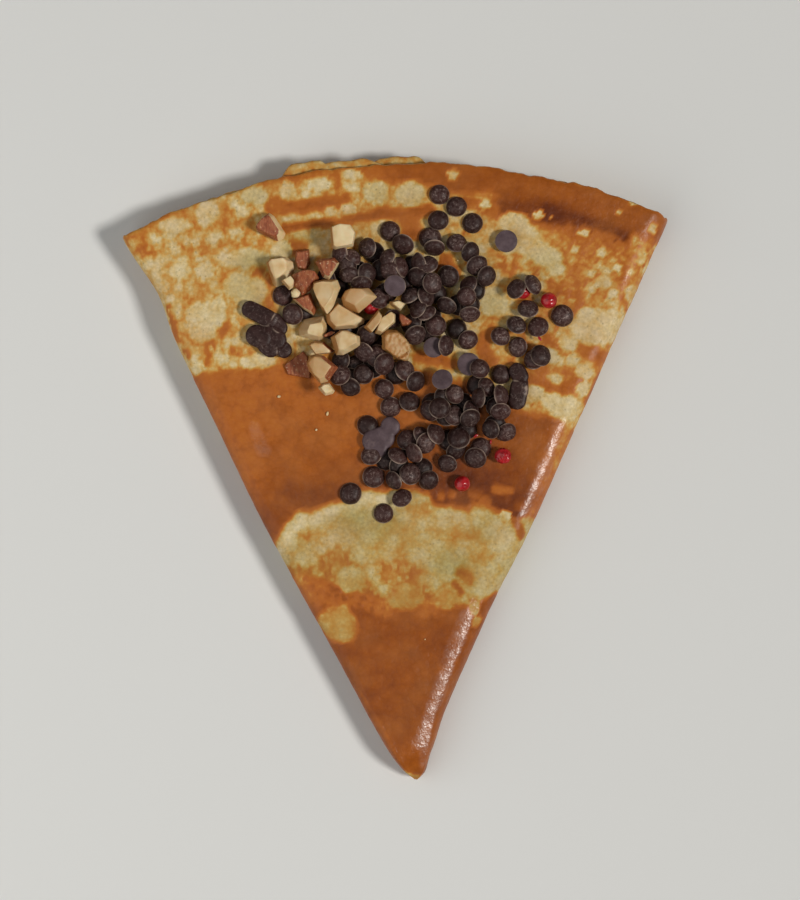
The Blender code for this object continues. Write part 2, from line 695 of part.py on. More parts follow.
def make_peppercorns(reach_map, collection):
    """The pink peppercorns."""
    husk = principled("pink_pepper_husk", (0.45, 0.01, 0.015), 0.3)
    for number, (x, y, radius) in enumerate(PEPPERCORNS, 1):
        form = reach_map.rest(peppercorn_form(radius), x, y, 0.0)
        add_object(f"pink_pepper_{number}", as_bmesh(form), collection, husk)


def make_almonds(reach_map, collection):
    """The chopped almonds, each a chip of its own size."""
    kernel = principled("almond_kernel", (0.66, 0.46, 0.24), 0.6)
    for number, (x, y, length, width, height, turn) in enumerate(ALMONDS, 1):
        form = reach_map.rest(almond_form(length, width, height, number), x, y, turn)
        add_object(f"almond_{number:02d}", as_bmesh(form), collection, kernel)


def make_all():
    """The whole object in its own collection."""
    for old in list(bpy.data.objects):
        bpy.data.objects.remove(old, do_unlink=True)
    collection = new_collection("chocolate_crepe")
    cutters = new_collection("cutters")
    make_crepe(collection, cutters)
    reach_map = ReachMap()
    chocolate = principled("dark_chocolate", (0.035, 0.02, 0.018), 0.4)
    draw = random.Random(11)
    make_heap(reach_map, draw, collection, chocolate)
    make_clumps(reach_map, collection, chocolate)
    make_stray_drops(reach_map, draw, collection, chocolate)
    make_peppercorns(reach_map, collection)
    make_almonds(reach_map, collection)


make_all()
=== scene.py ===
"""A chocolate crepe: the folded sheet, its drops of chocolate, chopped almonds and pink peppercorns.

Lengths are in millimetres until a mesh is made. The working frame has the folded corner at its origin, the
round rim towards +Y and the underside at z = 0.
"""

import math
import random

import bmesh
import bpy
import numpy as np
from mathutils import Matrix, Vector


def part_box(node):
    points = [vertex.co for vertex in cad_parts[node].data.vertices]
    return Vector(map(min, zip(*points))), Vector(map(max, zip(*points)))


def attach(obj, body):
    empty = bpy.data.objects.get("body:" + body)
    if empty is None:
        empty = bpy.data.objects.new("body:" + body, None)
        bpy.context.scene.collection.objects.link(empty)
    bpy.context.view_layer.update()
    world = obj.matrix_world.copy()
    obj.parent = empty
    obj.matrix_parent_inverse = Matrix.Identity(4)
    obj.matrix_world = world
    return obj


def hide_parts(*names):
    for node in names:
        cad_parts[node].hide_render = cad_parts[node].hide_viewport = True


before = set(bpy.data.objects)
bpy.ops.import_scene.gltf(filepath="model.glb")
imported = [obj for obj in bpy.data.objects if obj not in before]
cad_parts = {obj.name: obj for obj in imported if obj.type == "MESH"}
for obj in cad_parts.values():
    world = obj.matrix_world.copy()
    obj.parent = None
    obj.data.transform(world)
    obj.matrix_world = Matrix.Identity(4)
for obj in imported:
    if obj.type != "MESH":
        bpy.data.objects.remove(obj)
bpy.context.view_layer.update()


# The crepe: a round sheet of thin batter, baked in a pan and folded in half three times. Seen at the
# round rim it is one closed line of eight layers. The first side baked is outside: brown where it lay on
# the hot pan, pale and full of pores where steam held it up.

MM = 0.001
CREPE_RADIUS = 175.0

# The stack: its layers, the height of each at the rim and at the folded corner, the length over which it
# is pressed thinner there, and the share of the height that is batter
LAYERS = 8
LAYER_PITCH, TIP_PITCH, TIP_LENGTH = 1.7, 1.35, 40.0
SHEET_SHARE = 0.8
FIRST_SECTION = 0.35

# The outline in plan: the rounding of the folded corner, where straight sections turn into arcs, how far
# each side spreads with the distance from the corner, and its swellings and dents as height, place and
# half-length
CORNER_LENGTH, CORNER_FLATNESS, CORNER_ROUND = 10.0, 0.85, 3.0
STRAIGHT_TO, ARC_FROM = 20.0, 60.0
LEFT_SPREAD, LEFT_FULLNESS, LEFT_FULLNESS_LENGTH = 0.516, 3.5, 5.0
LEFT_SWELL, LEFT_DENT = (1.5, 72.0, 30.0), (2.0, 138.0, 9.0)
RIGHT_SPREAD, RIGHT_FULLNESS, RIGHT_KNOB = 0.4456, 0.9, (1.3, 8.0, 8.0)

# Soft waves of the upper face, which die out towards the left and right folds and the corner
WAVE_HEIGHT, CROSS_WAVE = 0.45, 0.6
WAVE_X, WAVE_Y, WAVE_DRIFT = 13.0, 19.0, 31.0
CROSS_WAVE_Y, CROSS_WAVE_X = 11.0, 27.0
LEFT_CALM, RIGHT_CALM, CORNER_CALM = (3.0, 17.0), (6.0, 20.0), (15.0, 50.0)

# Rim of the layers under the top one that looks out behind it: layer, middle, half-width and reach
PEEKS = ((1, -31.0, 8.0, 3.3), (1, -23.0, 15.0, 2.1), (2, -4.5, 9.5, 2.1), (2, -17.0, 9.0, 1.3))
HIDDEN_RIM = (0.0, -0.4, -0.3, -1.2, -2.0, -1.4, -2.2, -0.9)
RIM_SWAY, RIM_SWAY_LENGTH = 0.3, 7.0

# How many cells of a random field are drawn each way before it repeats
GRAIN_TABLE = (97, 89)


def smooth(low, high, value):
    """0 at low, 1 at high, and a soft step between."""
    t = np.clip((value - low) / (high - low), 0.0, 1.0)
    return t * t * (3.0 - 2.0 * t)


def hump(value, middle, half_width):
    """A soft bump of height 1."""
    return np.exp(-(((value - middle) / half_width) ** 2))


def grain(x, y, cell, seed):
    """A smooth random field between -1 and 1 with features about one cell wide, turned off the axes."""
    columns, rows = GRAIN_TABLE
    table = np.random.default_rng(seed).uniform(-1.0, 1.0, GRAIN_TABLE)
    u, v = (0.83 * x + 0.56 * y) / cell, (0.83 * y - 0.56 * x) / cell
    i, j = np.floor(u).astype(int), np.floor(v).astype(int)
    a, b = u - i, v - j
    a, b = a * a * (3.0 - 2.0 * a), b * b * (3.0 - 2.0 * b)
    i, j = i % (columns - 1), j % (rows - 1)
    near = table[i, j] * (1.0 - a) + table[i + 1, j] * a
    far = table[i, j + 1] * (1.0 - a) + table[i + 1, j + 1] * a
    return near * (1.0 - b) + far * b


def thickness(r):
    """Height of the stack at distance r from the folded corner, where it is pressed thinner."""
    pitch = LAYER_PITCH - (LAYER_PITCH - TIP_PITCH) * np.exp(-r / TIP_LENGTH)
    from_corner = 1.0 - np.clip(r / CORNER_LENGTH, 0.0, 1.0)
    return LAYERS * pitch * np.sqrt(1.0 - CORNER_FLATNESS * from_corner ** 2)


def corner_rounding(h):
    """Closes the plan outline round the folded corner."""
    return np.sqrt(1.0 - (1.0 - np.clip(h / CORNER_ROUND, 0.0, 1.0)) ** 2)


def left_width(h):
    """Plan outline left of the middle line."""
    swell = LEFT_SWELL[0] * hump(h, *LEFT_SWELL[1:])
    dent = LEFT_DENT[0] * hump(h, *LEFT_DENT[1:])
    fullness = LEFT_FULLNESS * (1.0 - np.exp(-h / LEFT_FULLNESS_LENGTH))
    return corner_rounding(h) * (LEFT_SPREAD * h + fullness + swell - dent)


def right_width(h):
    """Plan outline right of the middle line."""
    knob = RIGHT_KNOB[0] * hump(h, *RIGHT_KNOB[1:])
    return corner_rounding(h) * (RIGHT_SPREAD * h + RIGHT_FULLNESS + knob)


def bow(x, r):
    """y of a point on the section at distance r, straight near the corner and an arc towards the rim."""
    arc = np.sqrt(np.maximum(r * r - x * x, 0.0))
    return r - smooth(STRAIGHT_TO, ARC_FROM, r) * (r - arc)


def edges(r):
    """x of the left and right edge of the section at distance r, each found in a few rounds."""
    found = []
    for width, side in ((left_width, -1.0), (right_width, 1.0)):
        h = r
        for _ in range(12):
            h = 0.5 * (h + bow(width(h), r))
        found.append(side * width(h))
    return found


def top_height(x, y):
    """Height of the crepe's upper face: soft waves, level with the folds at both sides."""
    r = np.hypot(x, y)
    low, high = edges(r)
    inside = smooth(*LEFT_CALM, x - low) * smooth(*RIGHT_CALM, high - x) * smooth(*CORNER_CALM, r)
    wave = np.sin(x / WAVE_X + 1.1 * np.sin(y / WAVE_DRIFT)) * np.sin(y / WAVE_Y + 0.6)
    cross = CROSS_WAVE * np.sin(y / CROSS_WAVE_Y - x / CROSS_WAVE_X)
    return thickness(r) + WAVE_HEIGHT * inside * (wave + cross)


def rim_shift(layer, x):
    """How far the rim of a layer, counted from the top, stands out past the crepe's radius at x."""
    low, high = edges(CREPE_RADIUS)
    inside = smooth(4.0, 14.0, x - low) * smooth(7.0, 18.0, high - x)
    shift = HIDDEN_RIM[layer] + RIM_SWAY * np.sin(x / (RIM_SWAY_LENGTH + layer) + 2.0 * layer)
    for peek_layer, middle, half_width, reach in PEEKS:
        if layer == peek_layer:
            out = smooth(1.0, 0.5, abs(x - middle) / half_width)
            shift = np.maximum(shift, shift + (reach - shift) * out)
    return shift * inside


# The line of the sheet: which layers follow each other round the folds, from the top one on, and how many
# points it has on a layer and round a fold
SHEET_ORDER = (1, 8, 7, 2, 3, 6, 5, 4)
COLUMNS = 198
FOLD_STEPS = 18
FOLD_POINTS = 2 * FOLD_STEPS - 1
LAYER_POINTS = COLUMNS + 1 + FOLD_POINTS

# Lengths of the folds as a share of their height, how blunt the inner ones are, how far the lower left
# ones lie behind the edge by the upper of their two layers, and how one of them wanders
RIGHT_FOLD_LENGTH, LEFT_FOLD_LENGTH = 0.8, 1.15
FOLD_BLUNTNESS = 0.45
WANDERING_FOLD = 5
LOWER_FOLD_INSETS = {2: LAYER_PITCH * LEFT_FOLD_LENGTH, WANDERING_FOLD: 1.1, 7: 0.7}
FOLD_WANDER, FOLD_WANDER_LENGTH = 0.8, 24.0
LAYER_RIPPLE, RIPPLE_LENGTH = 0.16, 6.5


def sheet_faces(r):
    """The outer and the inner face of the sheet in the section at distance r, as closed rows of x and z.

    Also the layer of each point and its angle round the folded corner, counted on the unfolded sheet. A layer
    has COLUMNS + 1 points and the fold after it FOLD_POINTS.
    """
    low, high = edges(r)
    height = thickness(r)
    squeeze = min(1.0, 1.4 * (high - low) / (3.0 * height))
    sheet = SHEET_SHARE * height / LAYERS
    right_reach = squeeze * RIGHT_FOLD_LENGTH * 0.5 * height
    left_reach = squeeze * LEFT_FOLD_LENGTH * 0.25 * height
    across = np.linspace(low + left_reach, high - right_reach, COLUMNS + 1)
    crown = top_height(across, bow(across, r))
    loose = smooth(4.0, 16.0, across - low) * smooth(8.0, 20.0, high - across)
    turn = np.pi * np.arange(1, 2 * FOLD_STEPS) / (2.0 * FOLD_STEPS)

    def level(layer):
        """Height of the middle of a layer at each point across."""
        share = (LAYERS - layer) / (LAYERS - 1.0)
        ripple = LAYER_RIPPLE * np.sin(across / RIPPLE_LENGTH + 1.7 * layer) * loose
        return 0.5 * sheet + share * (crown - sheet) + (ripple if 1 < layer < LAYERS else 0.0)

    outer, inner, layers = [], [], []
    for number, layer in enumerate(SHEET_ORDER):
        after = SHEET_ORDER[(number + 1) % LAYERS]
        way = 1 if number % 2 == 0 else -1
        row = np.stack((across, level(layer)), axis=1)[::way]
        end_x, start_z, end_z = row[-1, 0], row[-1, 1], level(after)[::way][-1]
        half = 0.5 * (start_z - end_z)
        if way > 0:
            reach = right_reach * (2.0 * abs(half) + sheet) / height - 0.5 * sheet * squeeze
            bluntness = 1.0
        else:
            lower = min(layer, after)
            wander = FOLD_WANDER * math.sin(r / FOLD_WANDER_LENGTH) if lower == WANDERING_FOLD else 0.0
            reach = end_x - low - squeeze * (LOWER_FOLD_INSETS.get(lower, 0.0) + wander + 0.5 * sheet)
            bluntness = 1.0 if lower == 1 else FOLD_BLUNTNESS
        outside = way * np.sign(half)
        for faces, face in ((outer, outside), (inner, -outside)):
            lift = way * 0.5 * sheet if faces is outer else -way * 0.5 * sheet
            faces.append(row + (0.0, lift))
            bend = np.sign(half) * (abs(half) + 0.5 * face * sheet)
            fold_x = end_x + way * (reach + 0.5 * face * sheet * squeeze) * np.sin(turn) ** bluntness
            faces.append(np.stack((fold_x, 0.5 * (start_z + end_z) + bend * np.cos(turn)), axis=1))
        layers += [layer] * (COLUMNS + 1 + FOLD_STEPS) + [after] * (FOLD_POINTS - FOLD_STEPS)

    outer, inner = np.concatenate(outer), np.concatenate(inner)
    middle = 0.5 * (outer + inner)
    steps = np.hypot(*(np.roll(middle, -1, axis=0) - middle).T)
    walked = np.concatenate(((0.0,), np.cumsum(steps)[:-1]))
    angle = np.arcsin(np.clip(middle[:, 0] / r, -1.0, 1.0))
    angle[COLUMNS + 1:] = angle[COLUMNS] + (walked[COLUMNS + 1:] - walked[COLUMNS]) / r
    angle[-FOLD_POINTS:] = angle[0] - (walked[-FOLD_POINTS:][::-1] - walked[-FOLD_POINTS] + steps[-1]) / r
    return outer, inner, np.array(layers), angle


# Only the outside of the folded sheet is meshed from the corner to RIM_BAND before the rim. In the band
# the layers part: the outer faces run out to a thin rim and the inner faces come back. Each row of the
# band is how far it lies behind the rim, and on which share of the sheet's thickness.
STATIONS = 184
STATION_CROWDING = 1.15
UNDERSIDE_STEP = 6
RIM_BAND = 7.0
BAND_ROWS = (
    (7.0, 0.5), (5.6, 0.5), (4.2, 0.5), (2.8, 0.49), (1.6, 0.46), (0.8, 0.4), (0.3, 0.27), (0.0, 0.0),
    (0.3, -0.27), (0.8, -0.4), (2.0, -0.48), (4.4, -0.5), (7.0, -0.5),
)

# The thin rim is ragged like lace: how far, and the lengths of its larger and finer points
RIM_LACE, RIM_LACE_LENGTH, FINE_LACE_LENGTH = 0.35, 2.6, 1.1


def start_of(number):
    """Place of the first point of a layer in the loop, by its number in SHEET_ORDER."""
    return number * LAYER_POINTS


def outside_loop():
    """Places in the loop of the points that lie on the outside of the folded sheet, in order."""
    last_fold = range(start_of(7) + COLUMNS + 1, start_of(8))
    top_and_right = range(0, start_of(1))
    under = range(start_of(1), start_of(1) + COLUMNS + 1, UNDERSIDE_STEP)
    first_fold = range(start_of(1) + COLUMNS + 1, start_of(2) + 1)
    middle_fold = range(start_of(5) + COLUMNS, start_of(6) + 1)
    return [*last_fold, *top_and_right, *under, *first_fold, *middle_fold, start_of(7) + COLUMNS]


def rim_reach(layers, x, angle):
    """How far the rim of each point of the loop stands out past the crepe's radius."""
    shift = np.zeros(len(x))
    for layer in range(1, LAYERS + 1):
        own = layers == layer
        shift[own] = rim_shift(layer - 1, x[own])
    around = angle * CREPE_RADIUS
    lace = grain(around, 40.0 * layers, RIM_LACE_LENGTH, 11)
    lace += 0.5 * grain(around, 31.0 * layers, FINE_LACE_LENGTH, 12)
    return shift + RIM_LACE * (lace - 0.8)


def crepe_mesh():
    """Points, faces and what the colouring needs to know of every point of the folded sheet."""
    loop = outside_loop()
    body_end = CREPE_RADIUS - RIM_BAND
    share = (np.arange(STATIONS) / STATIONS) ** STATION_CROWDING
    points, radii, angles, hidden, faces = [], [], [], [], []

    def add_row(r, picked, t, side):
        """Adds picked points of the loop at distance r; t runs across the rim and side through the sheet."""
        outer, inner, layers, angle = sheet_faces(r)
        flat = outer * (0.5 + side) + inner * (0.5 - side)
        x, z = flat[picked].T
        picked_place = np.array(picked)
        reach = rim_reach(layers, 0.5 * (outer + inner)[:, 0], angle)[picked]
        far = r if t == 0.0 else body_end + (RIM_BAND + reach) * t
        points.append(np.stack((x, bow(x, far), z), axis=1))
        radii.append(np.full(len(x), r))
        angles.append(angle[picked])
        inner_layer = (layers[picked] > 1) & (layers[picked] < LAYERS)
        between = inner_layer & (picked_place % LAYER_POINTS <= COLUMNS)
        hidden.append(np.maximum(0.5 - side, between * (t > 0.0)))

    for r in FIRST_SECTION + (body_end - FIRST_SECTION) * share:
        add_row(r, loop, 0.0, 0.5)
    whole = list(range(LAYERS * LAYER_POINTS))
    for back, side in BAND_ROWS:
        add_row(CREPE_RADIUS - back, whole, 1.0 - back / RIM_BAND, side)

    ring, size = len(loop), len(whole)
    for k in range(STATIONS - 1):
        for i in range(ring):
            j = (i + 1) % ring
            faces.append((k * ring + i, k * ring + j, (k + 1) * ring + j, (k + 1) * ring + i))
    band = STATIONS * ring
    faces.append(tuple(range(ring))[::-1])
    for i in range(ring):
        j = (i + 1) % ring
        across = [loop[j], loop[i]]
        if start_of(1) <= loop[i] and loop[j] == loop[i] + UNDERSIDE_STEP:
            across = range(loop[j], loop[i] - 1, -1)
        near = (STATIONS - 1) * ring
        faces.append((near + i, near + j, *(band + place for place in across)))
    for k in range(len(BAND_ROWS) - 1):
        for i in whole:
            j = (i + 1) % size
            row = band + k * size
            faces.append((row + i, row + j, row + size + j, row + size + i))

    def wall(row, dead_end, pairs, way):
        """Closes the gap between two layers at the end of a row, from the fold where it ends."""
        for k in range(pairs):
            a, b = dead_end - k, dead_end + k
            corners = [row + a % size, row + (a - 1) % size, row + (b + 1) % size, row + b % size]
            faces.append(tuple(dict.fromkeys(corners))[::way])

    middle_of_fold = COLUMNS + FOLD_STEPS
    wall(band, start_of(6) + middle_of_fold, middle_of_fold, 1)
    wall(band, start_of(3) + middle_of_fold, middle_of_fold + LAYER_POINTS, 1)
    last = band + (len(BAND_ROWS) - 1) * size
    wall(last, start_of(1) + middle_of_fold, 4 * LAYER_POINTS, -1)
    return np.concatenate(points), faces, *(np.concatenate(values) for values in (radii, angles, hidden))


# Size of a pixel of the photograph on the crepe, and the pixel where the folded corner lies
PIXEL = 0.28317
CORNER_PIXEL = (415.0, 782.0)


def at_pixel(px, py):
    """x and y in the working frame of a pixel of the photograph."""
    return (px - CORNER_PIXEL[0]) * PIXEL, (CORNER_PIXEL[1] - py) * PIXEL


# How brown the first side is, from 0, pale, to 1, dark. Two brown zones and the pale ones between them
# follow the round sheet: each line is where a zone ends, as angle round the folded corner and distance
# from it.
TIP_BROWN_TO = ((-0.51, 68.0), (-0.36, 60.0), (-0.18, 53.0), (0.05, 51.5), (0.30, 52.6), (0.42, 58.0))
PALE_BAND_TO = (
    (-0.53, 78.6), (-0.47, 81.4), (-0.40, 83.2), (-0.33, 83.7), (-0.20, 84.0), (0.0, 83.0), (0.07, 79.5),
    (0.35, 79.5), (0.42, 82.5),
)
BROWN_BAND_TO = ((-0.49, 130.4), (-0.29, 124.0), (0.0, 117.0), (0.29, 109.5), (0.42, 109.0))
PALE_RIM_TO = (
    (-0.5, 174.0), (-0.25, 172.6), (-0.1, 171.2), (0.0, 169.0), (0.04, 166.6), (0.14, 166.9), (0.24, 162.0),
    (0.34, 165.0), (0.41, 166.5),
)
PALE, GOLDEN, TIP_BROWN, BAND_BROWN, RIM_BROWN = 0.13, 0.21, 0.8, 0.68, 0.76

# Random fields, each as a sum of cell in millimetres, seed and height: the ragged ends of the zones in
# millimetres, and the unevenness of the brown zones
RAGGEDNESS = ((6.0, 1, 1.0), (2.4, 2, 0.5), (1.2, 8, 0.2))
UNEVENNESS = ((14.0, 3, 0.05), (5.0, 9, 0.025))

# Pitch in millimetres and seed of the blisters of the rim zone, the fine ones between them, and the pale
# freckles of the brown band
BLISTERS, FINE_BLISTERS, FRECKLES = (6.4, 14), (2.7, 15), (4.6, 18)

# Strokes of browning: how brown, half-width in pixels, and the pixels that the stroke runs through
STROKES = (
    (0.9, 11.0, (504, 208), (557, 217), (612, 237)), (1.0, 6.0, (545, 215), (585, 226), (622, 240)),
    (0.62, 5.0, (467, 203), (492, 213)), (0.56, 13.0, (572, 238), (600, 246), (616, 256)),
    (0.46, 11.0, (560, 258), (578, 268)), (0.6, 8.0, (556, 290), (568, 296), (580, 308)),
    (0.52, 4.0, (628, 256), (622, 282)), (0.46, 9.0, (556, 238), (562, 262)),
    (0.52, 11.0, (502, 260), (512, 264)), (0.72, 8.0, (444, 268), (450, 276)),
    (0.68, 10.0, (588, 352), (600, 358)), (0.66, 5.0, (531, 380), (557, 391), (579, 382)),
    (0.6, 5.0, (546, 341), (564, 353)), (0.6, 4.0, (582, 399), (578, 410)),
    (0.7, 4.0, (590, 404), (602, 376)), (0.64, 5.0, (492, 329), (481, 346), (490, 362)),
    (0.62, 6.0, (417, 357), (450, 365)), (0.55, 5.0, (545, 366), (538, 372)),
    (0.5, 5.0, (528, 352), (530, 366)), (0.52, 6.0, (136, 243), (156, 253)),
    (0.46, 4.5, (187, 254), (221, 246), (262, 243)), (0.46, 5.0, (225, 222), (229, 234)),
    (0.42, 4.0, (181, 250), (191, 264)), (0.5, 4.0, (337, 184), (338, 197)),
    (0.7, 6.0, (272, 211), (316, 207), (345, 202)), (0.74, 3.0, (286, 229), (331, 224), (357, 221)),
    (0.74, 4.0, (345, 222), (371, 217), (386, 215), (403, 216), (428, 212)),
    (0.75, 6.0, (408, 236), (416, 236)), (0.65, 5.0, (406, 225), (413, 225)),
    (0.6, 4.0, (255, 272), (267, 281)), (0.55, 2.0, (172, 308), (179, 337), (193, 357)),
    (0.6, 4.5, (213, 343), (209, 363)), (0.56, 4.0, (228, 325), (223, 335)),
    (0.56, 6.0, (234, 353), (242, 353)), (0.5, 4.0, (218, 300), (223, 300)),
    (0.46, 4.0, (264, 283), (268, 305)), (0.65, 5.0, (281, 250), (304, 250)),
    (0.34, 7.0, (190, 290), (206, 292)), (0.42, 6.0, (142, 236), (150, 232)),
    (0.42, 5.0, (160, 229), (166, 227)), (0.42, 6.0, (194, 218), (196, 232)),
    (0.42, 5.0, (226, 202), (228, 214)), (0.48, 5.0, (278, 191), (276, 206)),
    (0.4, 5.0, (228, 262), (232, 284)), (0.36, 6.0, (168, 268), (170, 284)),
    (0.3, 12.0, (262, 340), (270, 352)), (0.32, 10.0, (200, 205), (245, 192)),
    (0.47, 11.0, (390, 572), (412, 574)), (0.48, 10.0, (298, 580), (316, 590)),
    (0.6, 8.0, (318, 594), (350, 604)), (0.52, 9.0, (366, 592), (384, 606)),
    (0.88, 9.0, (292, 490), (312, 500), (332, 494)), (0.66, 4.0, (455, 586), (460, 592)),
    (0.42, 6.0, (464, 572), (468, 580)), (0.3, 9.0, (304, 540), (314, 540)),
    (0.42, 7.0, (338, 554), (346, 562)), (0.42, 7.0, (322, 562), (334, 570)),
    (0.24, 9.0, (392, 530), (404, 550)), (0.46, 5.0, (294, 569), (318, 573), (330, 572)),
    (0.52, 9.0, (424, 592), (430, 606)), (0.66, 3.0, (514, 521), (521, 536)),
    (0.56, 3.5, (496, 489), (508, 491)), (0.3, 8.0, (412, 502), (430, 512)),
    (0.28, 7.0, (444, 536), (470, 530)), (0.29, 8.0, (476, 560), (486, 552)),
)

# Pale spots where steam held the batter off the pan: pixel, half-width and half-height in pixels
BUBBLES = (
    (340, 626, 20, 20), (352, 579, 16, 14), (403, 597, 19, 14), (447, 598, 14, 13), (474, 607, 6, 11),
    (478, 624, 7, 7), (412, 779, 9, 5), (505, 515, 6, 6), (452, 176, 7, 5), (484, 207, 6, 4),
    (537, 217, 6, 4), (551, 218, 3, 2), (617, 215, 3, 3), (582, 235, 6, 3), (650, 230, 4, 6),
    (600, 254, 6, 6), (632, 204, 4, 3), (514, 226, 16, 13), (524, 240, 18, 13), (536, 250, 16, 12),
    (547, 259, 16, 11), (554, 270, 9, 7), (506, 248, 8, 7), (601, 284, 9, 8), (492, 302, 14, 16),
    (600, 328, 30, 20), (566, 345, 10, 9), (571, 361, 8, 7), (551, 357, 9, 9), (583, 371, 10, 9),
    (568, 409, 18, 12), (532, 394, 12, 9), (550, 401, 11, 8), (583, 389, 9, 8), (206, 273, 9, 8),
    (376, 194, 13, 12), (410, 196, 14, 12), (209, 214, 11, 14), (176, 227, 16, 9), (256, 197, 13, 9),
    (214, 240, 7, 8), (177, 251, 7, 5), (197, 245, 4, 4), (181, 271, 11, 12), (245, 260, 26, 9),
    (240, 287, 15, 13), (254, 291, 13, 14), (246, 300, 12, 8), (213, 317, 15, 14), (197, 313, 10, 11),
    (206, 333, 13, 11), (220, 307, 8, 8), (258, 362, 20, 9), (200, 368, 7, 7), (320, 250, 11, 9),
    (282, 251, 10, 9), (289, 192, 9, 10), (320, 186, 12, 8), (331, 214, 6, 7), (306, 196, 4, 5),
    (234, 203, 4, 7), (243, 214, 8, 7), (238, 234, 9, 5), (349, 212, 9, 6), (352, 176, 10, 6),
    (156, 240, 5, 4), (430, 262, 8, 8), (300, 235, 8, 4), (455, 222, 6, 5), (610, 296, 6, 5),
    (574, 251, 4, 4), (590, 275, 4, 4), (616, 270, 4, 4),
)

# Places of painted shade, laid on as the dull tint of thin batter: pixel, half-width and half-height in
# pixels, and how strong
PAINTED_SHADE_PLACES = (
    (256, 265, 24, 13, 0.6), (247, 290, 20, 15, 0.35), (256, 197, 15, 10, 0.35), (376, 194, 16, 13, 0.3),
    (410, 196, 16, 13, 0.3), (365, 520, 36, 20, 0.4), (450, 562, 24, 14, 0.3), (480, 530, 18, 12, 0.25),
    (300, 245, 22, 14, 0.5), (545, 262, 24, 14, 0.3), (492, 306, 16, 18, 0.35),
)

# How dull the pale band is, how brown a stroke must be to cover fine blisters, and how brown the ring round
# a bubble is
BAND_DULLNESS, WEAK_STROKE, BUBBLE_RING = 0.4, 0.62, 0.34

# Where butter stands on the crust: how wet, half-width in pixels, and the pixels it runs through
BUTTER = (
    (1.0, 7.0, (465, 616), (458, 640), (447, 668), (437, 700), (428, 724), (421, 742)),
    (1.0, 5.0, (424, 754), (423, 764)), (1.0, 6.0, (554, 441), (548, 456), (543, 472), (537, 486)),
    (0.8, 6.0, (537, 486), (529, 503), (525, 513)), (0.6, 6.0, (559, 424), (555, 438)),
    (0.3, 5.0, (641, 222), (637, 238)), (0.35, 3.0, (626, 274), (620, 288)),
    (0.6, 6.0, (255, 428), (264, 450)), (0.7, 3.0, (472, 600), (476, 608)),
)


def track_distance(u, v, pixels):
    """Distance of each point from a line through pixels of the photograph."""
    corners = [at_pixel(*pixel) for pixel in pixels]
    found = np.full(len(u), np.inf)
    for (ax, ay), (bx, by) in zip(corners, corners[1:]):
        length = (bx - ax) ** 2 + (by - ay) ** 2
        t = np.clip(((u - ax) * (bx - ax) + (v - ay) * (by - ay)) / length, 0.0, 1.0)
        found = np.minimum(found, np.hypot(u - ax - t * (bx - ax), v - ay - t * (by - ay)))
    return found


def scattered_blisters(u, v, pitch, seed):
    """Distance to the nearest of many scattered round blisters, as a share of its radius."""
    columns, rows = GRAIN_TABLE
    source = np.random.default_rng(seed)
    jitter = source.uniform(-0.36, 0.36, (2, columns, rows))
    sizes = source.uniform(0.16, 0.5, (columns, rows))
    i, j = np.floor(u / pitch).astype(int), np.floor(v / pitch).astype(int)
    found = np.full(len(u), np.inf)
    for step in range(9):
        a, b = i + step // 3 - 1, j + step % 3 - 1
        own = a % columns, b % rows
        x, y = (a + 0.5 + jitter[0][own]) * pitch, (b + 0.5 + jitter[1][own]) * pitch
        found = np.minimum(found, np.hypot(u - x, v - y) / (sizes[own] * pitch))
    return found


